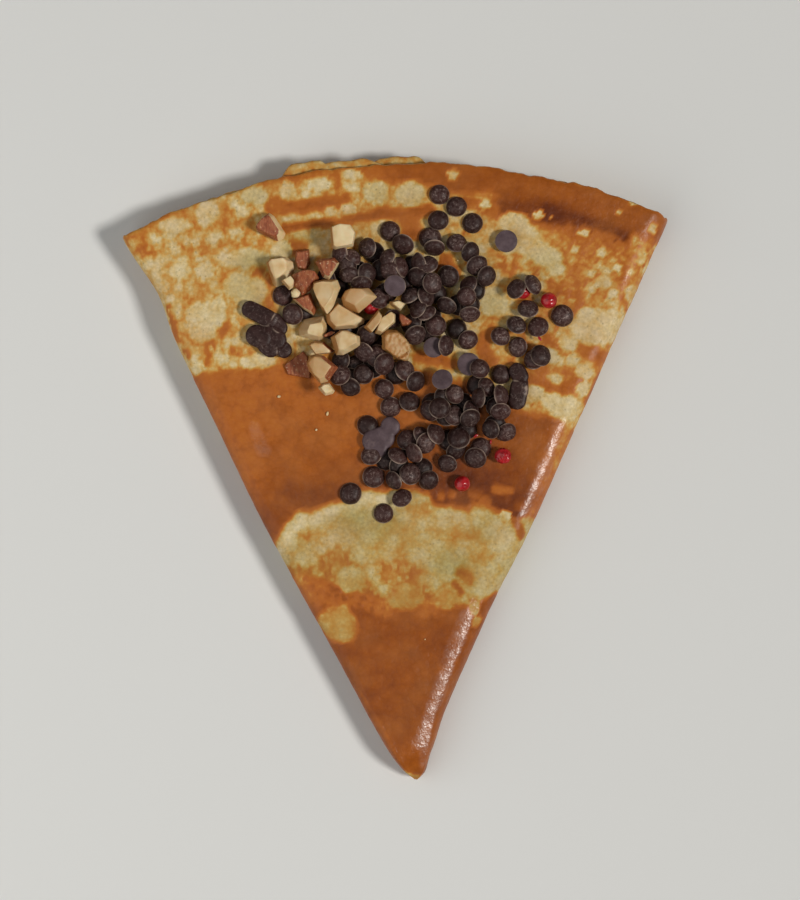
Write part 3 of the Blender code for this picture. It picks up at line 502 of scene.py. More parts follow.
def browning_of(r, angle):
    """For each point of the first side: how brown, how far steam has dented it, how dull from thin batter
    and painted shade, and how buttery.
    """
    u, v = r * np.sin(angle), r * np.cos(angle)
    ragged = sum(height * grain(u, v, cell, seed) for cell, seed, height in RAGGEDNESS)
    uneven = sum(height * grain(u, v, cell, seed) for cell, seed, height in UNEVENNESS)

    # On the folds and the lower layers, which the photograph doesn't show, the zones wander
    unseen = smooth(0.5, 0.75, np.abs(angle + 0.03))
    drift = unseen * (5.0 * np.sin(2.1 * angle + 1.0) + 3.0 * np.sin(5.3 * angle))
    at = r + ragged + drift

    def past(line, softness):
        """1 beyond the end of a zone and 0 before it."""
        return smooth(-softness, softness, at - np.interp(angle, *zip(*line)))

    def spot(px, py, wide, high):
        """Distance from a pixel as a share of a ragged oval round it."""
        x, y = at_pixel(px, py)
        return np.hypot((u - x) / (wide * PIXEL), (v - y) / (high * PIXEL)) + 0.16 * ragged

    # The brown tip and the pale band after it, which ends in a thick cream line at the left
    band = past(TIP_BROWN_TO, 1.0) * (1.0 - past(PALE_BAND_TO, 1.0))
    brown = TIP_BROWN + uneven
    band_line = np.interp(angle, *zip(*PALE_BAND_TO))
    thick = hump(band_line - at, 2.6, 2.0) * smooth(0.0, -0.12, angle)
    dull = PALE + 0.04 + 0.06 * grain(u, v, 7.0, 13) - 0.12 * thick
    brown += (dull - brown) * past(TIP_BROWN_TO, 1.6)

    # The brown band, darker where it starts and to the right but not on the fold, with pale freckles where
    # it starts. On the right fold it is painted paler, as the light that falls on the fold's side.
    darker_and_lit_fold = 0.15 * smooth(-0.05, 0.3, angle) * smooth(0.41, 0.35, angle) + 0.14 * smooth(100.0, 86.0, r)
    darker_and_lit_fold -= 0.18 * smooth(0.36, 0.41, angle)
    freckle = smooth(1.1, 0.6, scattered_blisters(u, v, *FRECKLES) + 0.2 * ragged)
    freckle *= smooth(7.0, 1.0, at - band_line) * smooth(-0.1, 0.1, angle)
    over_band = past(PALE_BAND_TO, 1.0 + 0.6 * grain(u, v, 9.0, 16)) * (1.0 - 0.35 * freckle)
    brown += (BAND_BROWN + darker_and_lit_fold + uneven - brown) * over_band

    # The golden zone towards the rim, full of pale blisters with a browner ring
    netted = smooth(0.12, 0.2, angle) * smooth(142.0, 138.0, r)
    speckled = smooth(0.12, 0.24, angle) * smooth(136.0, 142.0, r)
    blister = scattered_blisters(u, v, *BLISTERS) + 0.25 * ragged
    fine_blister = scattered_blisters(u, v, *FINE_BLISTERS) + 0.2 * ragged + netted
    mixed = GOLDEN + 0.1 * grain(u, v, 8.0, 10) + 0.18 * speckled
    ring = 0.08 + 0.08 * smooth(0.0, 0.12, angle)
    mixed += ring * hump(blister, 1.15, 0.2) + 0.05 * hump(fine_blister, 1.2, 0.3) + 0.06 * netted
    small = (0.75 - 0.3 * speckled) * smooth(1.1, 0.7, fine_blister)
    mixed += (PALE + 0.04 - mixed) * np.maximum(smooth(1.1, 0.8, blister), small)
    brown += (mixed - brown) * past(BROWN_BAND_TO, 1.6)

    # The unseen rest of that zone in patches, and the browner rim
    patches = PALE + 0.6 * smooth(0.05, 0.5, grain(u, v, 12.0, 5) + 0.4 * grain(u, v, 4.0, 6))
    brown += (patches - brown) * unseen * past(BROWN_BAND_TO, 2.0)
    rim = RIM_BROWN - 0.25 * smooth(0.0, -0.15, angle)
    brown += (rim - brown) * past(PALE_RIM_TO, 1.4)

    # Strokes of browning, of which the weaker ones spare the fine blisters
    for strength, half_width, *pixels in STROKES:
        reach = half_width * PIXEL
        away = track_distance(u, v, pixels) + 0.8 * ragged * min(1.0, 0.7 * reach) - 0.2
        held = 0.7 * smooth(1.1, 0.7, fine_blister) * (strength < WEAK_STROKE)
        brown += (strength - brown) * smooth(1.8 * reach, 0.3 * reach, away) * (1.0 - held)

    # Bubbles: a browner ring first, then a pale and dented middle
    dent = np.zeros(len(r))
    shade = 0.12 + 0.06 * band + 0.2 * smooth(66.0, 50.0, r)
    away_from = [spot(*bubble) for bubble in BUBBLES]
    for away in away_from:
        brown += (np.maximum(brown, BUBBLE_RING) - brown) * hump(away, 1.12, 0.14)
    for bubble, away in zip(BUBBLES, away_from):
        brown += (shade - brown) * smooth(1.12, 0.86, away)
        dent = np.maximum(dent, smooth(1.15, 0.3, away) * min(1.0, 0.08 * bubble[2]))
        band = np.maximum(band, smooth(1.1, 0.8, away) * smooth(72.0, 60.0, r))

    # Thin batter all over the pale band, painted shade in single places, and butter
    thin_and_shaded = band * (BAND_DULLNESS + 0.15 * grain(u, v, 9.0, 17)) * (1.0 - 0.8 * thick)
    for *place, strength in PAINTED_SHADE_PLACES:
        thin_and_shaded += strength * smooth(1.4, 0.4, spot(*place))
    wet = np.zeros(len(r))
    for strength, half_width, *pixels in BUTTER:
        away = track_distance(u, v, pixels) + 0.5 * ragged
        wet = np.maximum(wet, strength * smooth(1.6, 0.5, away / (half_width * PIXEL)))
    return brown, dent, np.clip(thin_and_shaded, 0.0, 1.0), wet


# How deep bubbles are dented, how far the brown parts stand out, the fine relief of the skin and its
# cell, all in millimetres, how brown the faces between the layers are, and how the upper edge of the
# right fold is rounded near the corner: by how much, from the edge inwards, and between what radii
BUBBLE_DENT, BROWN_LIFT, SKIN_RELIEF, SKIN_CELL = 0.28, 0.14, 0.05, 1.6
HIDDEN_BROWNING = 0.3
TIP_ROUNDING, ROUNDED_EDGE, ROUNDED_TO = 1.3, (8.0, 1.0), (80.0, 50.0)

points, faces, radii, angles, hidden = crepe_mesh()
shown = 1.0 - smooth(0.05, 0.6, hidden)
browning, dent, thin_and_shaded, wet = browning_of(radii, angles)
browning = HIDDEN_BROWNING + (browning - HIDDEN_BROWNING) * shown

# The relief is laid along the normals of the smooth sheet, which come from a mesh that isn't kept. It
# leaves out the underside and the very corner, so that the crepe stays as large as its solid.
smooth_sheet = bpy.data.meshes.new("crepe_sheet")
smooth_sheet.from_pydata(points.tolist(), [], faces)
smooth_sheet.update()
normals = np.zeros(len(points) * 3)
smooth_sheet.vertices.foreach_get("normal", normals)
bpy.data.meshes.remove(smooth_sheet)
relief = BROWN_LIFT * (smooth(0.3, 0.6, browning) - 1.0) - BUBBLE_DENT * dent
rounded = np.arange(1.0, 90.0, 4.0)
right_edge = np.interp(radii, rounded, [edges(r)[1] for r in rounded])
relief -= TIP_ROUNDING * smooth(*ROUNDED_EDGE, right_edge - points[:, 0]) * smooth(*ROUNDED_TO, radii)
relief += SKIN_RELIEF * grain(radii * np.sin(angles), radii * np.cos(angles), SKIN_CELL, 7)
inside_box = smooth(0.6, 2.0, points[:, 2]) * smooth(2.0, 8.0, radii)
points += normals.reshape(-1, 3) * (relief * shown * inside_box)[:, None]

# Shift from the working frame to that of the part
crepe_low, crepe_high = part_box("crepe")
ROW_SHIFT = Vector((crepe_high[0] / MM - edges(CREPE_RADIUS)[1], crepe_low[1] / MM - FIRST_SECTION))


def add_piece(name, mesh, material):
    """A piece in the frame's own place: the mesh comes in millimetres of the working frame."""
    mesh.transform(Matrix.Scale(MM, 4) @ Matrix.Translation(ROW_SHIFT.to_3d()))
    for polygon in mesh.polygons:
        polygon.use_smooth = True
    mesh.materials.append(material)
    piece = bpy.data.objects.new(name, mesh)
    bpy.context.scene.collection.objects.link(piece)
    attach(piece, "root")
    return piece


def add_values(mesh, name, values):
    """Stores one number for each point of a mesh, for its material to read."""
    stored = mesh.attributes.new(name, "FLOAT", "POINT").data
    stored.foreach_set("value", np.asarray(values, dtype=np.float32))


def colour(code):
    """Linear colour of an sRGB hex value."""
    parts = [int(code[i:i + 2], 16) / 255.0 for i in (0, 2, 4)]
    return (*(c / 12.92 if c <= 0.04045 else ((c + 0.055) / 1.055) ** 2.4 for c in parts), 1.0)


def add_node(tree, kind, inputs=(), stops=(), **settings):
    """Adds a node with its settings, and fills a colour ramp with its stops.

    Inputs are values, outputs of other nodes, or nodes, which then give their first output in use.
    """
    made = tree.nodes.new(kind)
    for name, value in settings.items():
        setattr(made, name, value)
    if stops:
        made.color_ramp.elements[0].position = stops[0][0]
        made.color_ramp.elements[1].position = stops[-1][0]
        for place, _ in stops[1:-1]:
            made.color_ramp.elements.new(place)
        for element, (_, code) in zip(made.color_ramp.elements, stops):
            element.color = colour(code)
    for key, value in dict(inputs).items():
        if isinstance(value, bpy.types.Node):
            value = next(output for output in value.outputs if output.enabled)
        if isinstance(value, bpy.types.NodeSocket):
            tree.links.new(value, made.inputs[key])
        else:
            made.inputs[key].default_value = value
    return made


def start_material(name):
    """A material with an empty node tree, that tree, and the output that gives the place on a piece."""
    material = bpy.data.materials.new(name)
    material.use_nodes = True
    material.node_tree.nodes.clear()
    return material, material.node_tree, add_node(material.node_tree, "ShaderNodeTexCoord").outputs["Object"]


# Baked batter of flour, milk and egg, fried in butter. Pale parts are cream blisters with a yellow rim,
# full of fine pores and nearly matt; between them the batter is golden. Parts that lay on the pan are
# caramel to chestnut, smoother, and shine a little with butter.
BLISTER_SIZE, GRANULE_SIZE, MOTTLE_SIZE, TINT_SIZE = 3.6 * MM, 1.25 * MM, 2.2 * MM, 11.0 * MM
BLISTER_SHIFT = 1.6 * MM
PORE_SPACING, PORE_SHARE = 1.3 * MM, 0.26
ORANGE_PEEL, FINE_GRAIN, SPECK_SIZE, FILM_SIZE = 1.4 * MM, 0.4 * MM, 0.9 * MM, 3.0 * MM
PEEL_DEPTH, GRAIN_DEPTH, GRANULE_DEPTH = 0.14 * MM, 0.1 * MM, 0.2 * MM
PORE_DEPTH, FILM_DEPTH = 0.08 * MM, 0.4 * MM

batter, tree, place = start_material("browned_batter")

# How brown each spot is, with blisters and granules that vary it
baked = add_node(tree, "ShaderNodeAttribute", attribute_name="browning").outputs["Fac"]
uneven = add_node(tree, "ShaderNodeAttribute", attribute_name="mottling").outputs["Fac"]
thinness_and_shade = add_node(tree, "ShaderNodeAttribute", attribute_name="thinness_and_shade").outputs["Fac"]
mottle = add_node(tree, "ShaderNodeTexNoise", {
    "Vector": place, "Scale": 1.0 / MOTTLE_SIZE, "Detail": 4.0, "Roughness": 0.6})
shifted = add_node(tree, "ShaderNodeVectorMath", {
    0: mottle.outputs["Color"], 1: 3 * (BLISTER_SHIFT,), 2: place}, operation="MULTIPLY_ADD")
blister = add_node(tree, "ShaderNodeTexVoronoi", {"Vector": shifted, "Scale": 1.0 / BLISTER_SIZE})
granule = add_node(tree, "ShaderNodeTexVoronoi", {"Vector": shifted, "Scale": 1.0 / GRANULE_SIZE})
tint = add_node(tree, "ShaderNodeTexNoise", {"Vector": place, "Scale": 1.0 / TINT_SIZE, "Detail": 2.0})
first = add_node(tree, "ShaderNodeMath", {0: blister, 1: 0.8, 2: -0.84}, operation="MULTIPLY_ADD")
second = add_node(tree, "ShaderNodeMath", {0: granule, 1: 0.45, 2: first}, operation="MULTIPLY_ADD")
third = add_node(tree, "ShaderNodeMath", {0: mottle, 1: 0.5, 2: second}, operation="MULTIPLY_ADD")
level = add_node(tree, "ShaderNodeMath", {0: third, 1: uneven, 2: baked}, operation="MULTIPLY_ADD")

# Its colour from cream to chestnut, duller where the batter is thin and where shade is painted, and warmer in
# wide soft patches
crust = add_node(tree, "ShaderNodeValToRGB", {"Fac": level}, stops=(
    (0.0, "DDCCA4"), (0.14, "D5BF8C"), (0.24, "CFAE6A"), (0.34, "CA984A"), (0.44, "C37F30"), (0.56, "B66820"),
    (0.68, "AE5F1B"), (0.8, "954C0D"), (0.9, "7D3B08"), (1.0, "642A05")))
dull = add_node(tree, "ShaderNodeMix", {
    "Factor": thinness_and_shade, "A": colour("FFFFFF"), "B": colour("C6C8A8")}, data_type="RGBA")
thin_and_shaded_crust = add_node(tree, "ShaderNodeMix", {
    "Factor": 1.0, "A": crust, "B": dull}, data_type="RGBA", blend_type="MULTIPLY")
hue = add_node(tree, "ShaderNodeMapRange", {
    "Value": tint, "From Min": 0.42, "From Max": 0.68, "To Max": 0.22})
warm = add_node(tree, "ShaderNodeMix", {
    "Factor": hue, "A": thin_and_shaded_crust, "B": colour("B07038")}, data_type="RGBA")

# Pores and fine light specks in the pale parts
pores = add_node(tree, "ShaderNodeTexVoronoi", {"Vector": place, "Scale": 1.0 / PORE_SPACING})
hole = add_node(tree, "ShaderNodeMapRange", {
    "Value": pores, "From Min": PORE_SHARE, "From Max": 0.5 * PORE_SHARE})
pale_part = add_node(tree, "ShaderNodeMapRange", {"Value": level, "From Min": 0.42, "From Max": 0.2})
some = add_node(tree, "ShaderNodeMath", {0: pores.outputs["Color"], 1: 0.45}, operation="GREATER_THAN")
open_pore = add_node(tree, "ShaderNodeMath", {0: hole, 1: pale_part}, operation="MULTIPLY")
seen_pore = add_node(tree, "ShaderNodeMath", {0: open_pore, 1: some}, operation="MULTIPLY")
soft_pore = add_node(tree, "ShaderNodeMath", {0: seen_pore, 1: 0.42}, operation="MULTIPLY")
pored = add_node(tree, "ShaderNodeMix", {
    "Factor": soft_pore, "A": warm, "B": colour("8F7C50")}, data_type="RGBA")
speck = add_node(tree, "ShaderNodeTexNoise", {"Vector": place, "Scale": 1.0 / SPECK_SIZE, "Detail": 2.0})
light = add_node(tree, "ShaderNodeMapRange", {
    "Value": speck, "From Min": 0.3, "From Max": 0.7, "To Min": 0.87, "To Max": 1.13})
granular_tone = add_node(tree, "ShaderNodeMix", {"Factor": pale_part, "A": 1.0, "B": light})
toned = add_node(tree, "ShaderNodeVectorMath", {0: pored, "Scale": granular_tone}, operation="SCALE")

# Relief that is too fine for the mesh
peel = add_node(tree, "ShaderNodeTexNoise", {"Vector": place, "Scale": 1.0 / ORANGE_PEEL, "Detail": 1.0})
fine = add_node(tree, "ShaderNodeTexNoise", {"Vector": place, "Scale": 1.0 / FINE_GRAIN, "Detail": 2.0})
low_bump = add_node(tree, "ShaderNodeBump", {"Height": peel, "Strength": 0.6, "Distance": PEEL_DEPTH})
bump = add_node(tree, "ShaderNodeBump", {
    "Height": fine, "Strength": 0.6, "Distance": GRAIN_DEPTH, "Normal": low_bump})
granular = add_node(tree, "ShaderNodeBump", {
    "Height": granule, "Strength": 0.35, "Distance": GRANULE_DEPTH, "Normal": bump}, invert=True)
pit = add_node(tree, "ShaderNodeBump", {
    "Height": seen_pore, "Strength": 0.3, "Distance": PORE_DEPTH, "Normal": granular}, invert=True)
gloss = add_node(tree, "ShaderNodeMapRange", {
    "Value": level, "From Min": 0.2, "From Max": 0.75, "To Min": 0.6, "To Max": 0.4})

# The film of butter on the crust: thin and uneven all over, and wettest where butter stands
film = add_node(tree, "ShaderNodeTexNoise", {
    "Vector": place, "Scale": 1.0 / FILM_SIZE, "Detail": 3.0, "Roughness": 0.7})
film_share = add_node(tree, "ShaderNodeMapRange", {
    "Value": film, "From Min": 0.36, "From Max": 0.56, "To Min": 0.25})
film_bump = add_node(tree, "ShaderNodeBump", {
    "Height": film, "Strength": 1.0, "Distance": FILM_DEPTH, "Normal": low_bump})
buttered = add_node(tree, "ShaderNodeAttribute", attribute_name="butter").outputs["Fac"]
oiled = add_node(tree, "ShaderNodeMapRange", {
    "Value": level, "From Min": 0.3, "From Max": 0.7, "To Min": 0.02, "To Max": 0.09})
wetter = add_node(tree, "ShaderNodeMath", {0: oiled, 1: buttered}, operation="MAXIMUM")
butter = add_node(tree, "ShaderNodeMath", {0: film_share, 1: wetter}, operation="MULTIPLY")
batter_shader = add_node(tree, "ShaderNodeBsdfPrincipled", {
    "Base Color": toned, "Roughness": gloss, "IOR": 1.4, "Specular IOR Level": 0.35, "Coat Weight": butter,
    "Coat Roughness": 0.36, "Coat IOR": 1.9, "Normal": pit, "Coat Normal": film_bump})
add_node(tree, "ShaderNodeOutputMaterial", {"Surface": batter_shader})

# How strongly blisters and granules vary each degree of browning
MOTTLING_AT = (0.0, 0.14, 0.35, 0.6, 0.75, 1.0)
MOTTLING = (0.36, 0.42, 0.47, 0.3, 0.12, 0.1)
sheet_mesh = bpy.data.meshes.new("crepe_sheet")
sheet_mesh.from_pydata(points.tolist(), [], faces)
mottling = np.interp(browning, MOTTLING_AT, MOTTLING) * (1.0 - 0.6 * thin_and_shaded)
add_values(sheet_mesh, "browning", browning)
add_values(sheet_mesh, "mottling", mottling * (1.0 - 0.4 * smooth(0.2, 0.7, dent)))
add_values(sheet_mesh, "thinness_and_shade", thin_and_shaded * shown)
add_values(sheet_mesh, "butter", wet * shown)
crepe = add_piece("folded_crepe", sheet_mesh, batter)
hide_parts("crepe")


# Toppings are strewn on by hand, one after another. Each comes to rest on the crepe and on what lies there
# already, so a map keeps the height of all that lies there.

# Gap under a topping, and the corner of the map, the size of its cells and how many there are each way
CLEARANCE = 0.04
MAP_CORNER = (-56.0, 66.0)
MAP_CELL = 0.3
MAP_SHAPE = (367, 358)


class HeightMap:
    """Height of all that lies on the crepe so far, for the next topping to rest on."""

    def __init__(self):
        x, y = np.meshgrid(MAP_CORNER[0] + MAP_CELL * np.arange(MAP_SHAPE[0]),
                           MAP_CORNER[1] + MAP_CELL * np.arange(MAP_SHAPE[1]), indexing="ij")
        self.height = top_height(x, y)

    def cells(self, found):
        """The cells of the map that these points lie over."""
        i = np.rint((found[:, 0] - MAP_CORNER[0]) / MAP_CELL).astype(int)
        j = np.rint((found[:, 1] - MAP_CORNER[1]) / MAP_CELL).astype(int)
        return np.clip(i, 0, MAP_SHAPE[0] - 1), np.clip(j, 0, MAP_SHAPE[1] - 1)

    def rest(self, found):
        """How far these points must rise to lie on what is there."""
        return float(np.max(self.height[self.cells(found)] - found[:, 2])) + CLEARANCE

    def cover(self, found):
        """Raises the map to these points."""
        np.maximum.at(self.height, self.cells(found), found[:, 2])


ground = HeightMap()


# Pink peppercorns: dried berries with a thin, brittle, shiny red husk round one seed. They were strewn on
# whole, and one is wrinkled from drying.

# Place and radius in millimetres, which one is wrinkled, and the sizes and depths of the folds and wrinkles
PEPPERCORNS = (
    (37.4, 135.9, 2.3), (24.6, 92.4, 2.4), (13.2, 84.6, 2.2), (-12.4, 134.2, 2.3), (30.2, 138.4, 2.1),
)
WRINKLED = 1
FOLD_SIZE, WRINKLE_SIZE = 1.4, 1.0
FOLD_SHARE, WRINKLE_SHARE = 0.02, 0.3

# Where the stalk was: a direction, and a small pit with a ring round it, in shares of the radius
SCAR_WAY = (0.35, -0.3, 0.887)
PIT_DEPTH, PIT_WIDTH = 0.09, 0.2
RING_HEIGHT, RING_WIDTH, RING_AT = 0.03, 0.1, 0.34
pepper_form = bmesh.new()
for number, (x, y, radius) in enumerate(PEPPERCORNS):
    ball = bmesh.ops.create_icosphere(pepper_form, subdivisions=4, radius=radius)["verts"]
    around = np.array([vert.co for vert in ball])
    cell = WRINKLE_SIZE if number == WRINKLED else FOLD_SIZE
    folds = grain(around[:, 0] + 7.0 * number, around[:, 1] + 1.5 * around[:, 2], cell, 40 + number)
    swell = FOLD_SHARE * folds - (WRINKLE_SHARE * np.abs(folds) if number == WRINKLED else 0.0)
    scar = np.linalg.norm(around / radius - SCAR_WAY, axis=1)
    swell -= PIT_DEPTH * hump(scar, 0.0, PIT_WIDTH) - RING_HEIGHT * hump(scar, RING_AT, RING_WIDTH)
    shaped = around * (1.0 + swell)[:, None] + (x, y, 0.0)
    rise = ground.rest(shaped)
    shaped += (0.0, 0.0, rise)
    ground.cover(shaped)
    for vert, co in zip(ball, shaped):
        vert.co = co
pepper_mesh = bpy.data.meshes.new("peppercorns")
pepper_form.to_mesh(pepper_mesh)
pepper_form.free()

# Dried berry husk: paper-thin and brittle, blotched from crimson to rose, with a soft gloss like lacquer
BLOTCH_SIZE, HUSK_RELIEF = 1.8 * MM, 0.15 * MM
pepper, tree, place = start_material("pink_pepper_husk")
blush = add_node(tree, "ShaderNodeTexNoise", {"Vector": place, "Scale": 1.0 / BLOTCH_SIZE, "Detail": 3.0})
red = add_node(tree, "ShaderNodeValToRGB", {"Fac": blush}, stops=(
    (0.3, "86080F"), (0.5, "AC101C"), (0.72, "C63438")))
husk_bump = add_node(tree, "ShaderNodeBump", {"Height": blush, "Strength": 0.4, "Distance": HUSK_RELIEF})
pepper_shader = add_node(tree, "ShaderNodeBsdfPrincipled", {
    "Base Color": red, "Roughness": 0.3, "IOR": 1.47, "Coat Weight": 0.4, "Coat Roughness": 0.12,
    "Normal": husk_bump})
add_node(tree, "ShaderNodeOutputMaterial", {"Surface": pepper_shader})
peppers = add_piece("pink_peppercorns", pepper_mesh, pepper)
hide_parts(*[f"pink_pepper_{number}" for number in range(1, 6)])


# Chocolate drops: dark chocolate poured in drops on a cold belt, so each has a flat underside with a thin
# edge and a low dome. They lie loose in a heap, some leaning, some flat side up, with a few apart from
# it. The domes are dusty with bloom, thicker on their tops, where it also paints their highlight, and the
# edge is painted pale, as rubbed wear and as the highlight that it catches.

# Size of a drop in millimetres, how many points there are round it, and round and along the finer one
# that is only used to find how a drop comes to rest
DROP_RADIUS, DROP_HEIGHT = 2.95, 2.15
DROP_SIDES = 26
DENSE_SIDES, DENSE_RINGS = 36, 25

# How drops differ in size, in being oval and in height, each drawn between two shares
DROP_SIZES, DROP_OVALS, DROP_HEIGHTS = (0.95, 1.09), (0.97, 1.03), (0.85, 1.05)

# Half a section of a drop, from the middle of the flat side over the edge to the top, as shares of its
# radius and height, and how far each ring of it is painted pale, as rubbed wear and as the highlight on the
# thin edge. The rings up to the third, which is number 2, are the flat side.
DROP_PROFILE = (
    (0.0, 0.0), (0.55, 0.0), (0.94, 0.0), (0.985, 0.03), (1.0, 0.08), (0.985, 0.13), (0.955, 0.2),
    (0.91, 0.38), (0.83, 0.6), (0.7, 0.79), (0.5, 0.92), (0.26, 0.985), (0.0, 1.0),
)
RIM_WEAR_AND_GLINT = (0.0, 0.0, 0.0, 0.35, 1.0, 0.6, 0.15, 0.0, 0.0, 0.0, 0.0, 0.0, 0.0)
FLAT_RINGS = 2

# The dents of a drop: height, cell and the height above the flat side from which they start
DENT_DEPTH, DENT_CELL, DENTS_FROM = 0.05, 1.3, 0.2

# Pixels of the photograph where the drops of the heap lie, dome up, and those that lie flat side up
HEAP_DROPS = (
    (390, 233), (366, 250), (339, 257), (347, 269), (350, 279), (369, 276), (362, 288), (390, 273),
    (430, 240), (471, 255), (477, 269), (487, 279), (417, 281), (447, 279), (466, 286), (465, 299),
    (436, 327), (425, 313), (416, 309), (409, 296), (427, 298), (394, 321), (380, 300), (406, 370),
    (364, 375), (417, 383), (384, 390), (350, 389), (340, 375), (377, 357), (368, 338), (455, 394),
    (500, 375), (391, 408), (410, 401), (428, 412), (454, 415), (472, 411), (470, 420), (506, 434),
    (368, 426), (407, 439), (371, 454), (399, 454), (423, 435), (427, 444), (437, 433), (480, 448),
    (374, 476), (392, 481), (429, 481), (434, 252),
)
TOP_DROPS = (
    (402, 248), (433, 286), (445, 309), (469, 318), (447, 347), (468, 342), (386, 366), (439, 408),
    (479, 369), (499, 414), (412, 454), (458, 437), (474, 459), (446, 465), (411, 473), (401, 496),
)
HEAP_FLAT_UP = ((395, 288), (433, 348), (442, 381), (468, 365))

# Drops under those, where the heap is deepest and under the almonds, filling its dark gaps, where their
# darker tones paint the shade
LOWER_DROPS = (
    (344, 262), (374, 254), (382, 272), (358, 274), (386, 296), (402, 284), (412, 268), (424, 290),
    (438, 296), (416, 304), (430, 318), (424, 336), (410, 324), (408, 312), (440, 340), (456, 330),
    (458, 306), (474, 292), (356, 366), (374, 368), (396, 374), (488, 396), (474, 386), (496, 408),
    (462, 404), (334, 270), (372, 286), (400, 298), (444, 322), (432, 404), (444, 398), (452, 386),
    (446, 416), (448, 440), (482, 418), (466, 430), (450, 428), (494, 426), (440, 446), (456, 452),
    (470, 446), (412, 448), (386, 460), (400, 466), (422, 468), (350, 380), (470, 308), (304, 312),
    (314, 305), (334, 331), (350, 331), (340, 361), (374, 343), (381, 352), (370, 330), (340, 289),
    (326, 281),
)

# Drops that lean: pixel, lean from upright and direction of the lean, both in degrees. The first ones are
# laid before the heap, the others on it.
LEANING_UNDER = (
    (386, 260, 52, 160), (354, 258, 64, 50), (403, 269, 66, 20), (417, 267, 60, 200), (427, 266, 38, 110),
    (456, 244, 30, 90),
)
LEANING_OVER = (
    (416, 338, 42, 300), (363, 355, 44, 230), (487, 387, 40, 30), (476, 398, 62, 180), (501, 396, 60, 10),
    (488, 430, 36, 200),
)

# Drops apart from the heap, in millimetres
STRAY_DROPS = (
    (6.8, 165.7), (11.6, 162.3), (6.5, 158.6), (16.1, 157.7), (27.8, 139.3), (33.4, 140.6), (31.6, 134.0),
    (28.6, 129.5), (34.3, 128.8), (41.3, 131.7), (24.1, 126.2), (28.4, 122.9), (33.0, 119.6),
    (35.4, 120.6), (-37.1, 137.4), (-34.6, 131.9), (-18.1, 81.8), (-8.9, 76.2),
)
STRAY_FLAT_UP = ((25.5, 152.5),)

# How light the chocolate of a drop is, at random between two values: on top, in the lower layer and flat
# side up. The lower layer is darker, as painted shade in the gaps of the heap.
DROP_TONES, LOWER_SHADED_TONES, FLAT_TONES = (0.56, 1.2), (0.3, 0.6), (0.9, 1.1)

# How much bloom a drop has all over, and how far it gathers on the top of the dome instead, where it also
# paints the dome's highlight; that share is drawn for each drop
EVEN_BLOOM = 0.22
BLOOM_AND_HIGHLIGHT_GATHERS = (0.15, 0.4, 1.0)

# How high the tops of the lower drops, of the heap and of the last drops on it may reach
LOWER_TOP, HEAP_TOP, LAST_TOP = 17.9, 20.6, 22.4

# Leans in degrees that a drop may come to rest at, how many ways round each is tried, and how many
# millimetres of height a radian of lean counts for
TILTS, TILT_TURNS, TILT_COST = (0.0, 12.0, 24.0, 36.0, 50.0), 12, 0.2


def drop_points(sides, rings):
    """Points of a drop with its flat side down, ring by ring from the middle of that side to the top."""
    t = np.linspace(0.0, len(DROP_PROFILE) - 1.0, rings)
    radius, height = (np.interp(t, np.arange(len(DROP_PROFILE)), part) for part in zip(*DROP_PROFILE))
    angle = 2.0 * np.pi * np.arange(sides) / sides
    x, y = (DROP_RADIUS * np.outer(radius, wave(angle)).ravel() for wave in (np.cos, np.sin))
    return np.stack((x, y, np.repeat(DROP_HEIGHT * height, sides)), axis=1)


def turned(found, lean, towards, spin, flat_up=False):
    """Points of a topping after it is turned about its upright, leaned over and perhaps laid upside down."""
    turn = Matrix.Rotation(towards, 3, "Z") @ Matrix.Rotation(lean, 3, "Y")
    turn = turn @ Matrix.Rotation(spin - towards, 3, "Z")
    if flat_up:
        turn = turn @ Matrix.Rotation(math.pi, 3, "X")
    middle = np.array((0.0, 0.0, 0.5 * DROP_HEIGHT))
    return (found - middle) @ np.array(turn).T + middle


drop_random = random.Random(17)
bloom_random = random.Random(23)
dense_drop = drop_points(DENSE_SIDES, DENSE_RINGS)
rings = len(DROP_PROFILE)
rough_drop = drop_points(DROP_SIDES, rings)
drop_verts, drop_faces, drop_edge_wear_and_glint, drop_flat, drop_bloom_and_highlight, drop_tone_and_shade = [], [], [], [], [], []


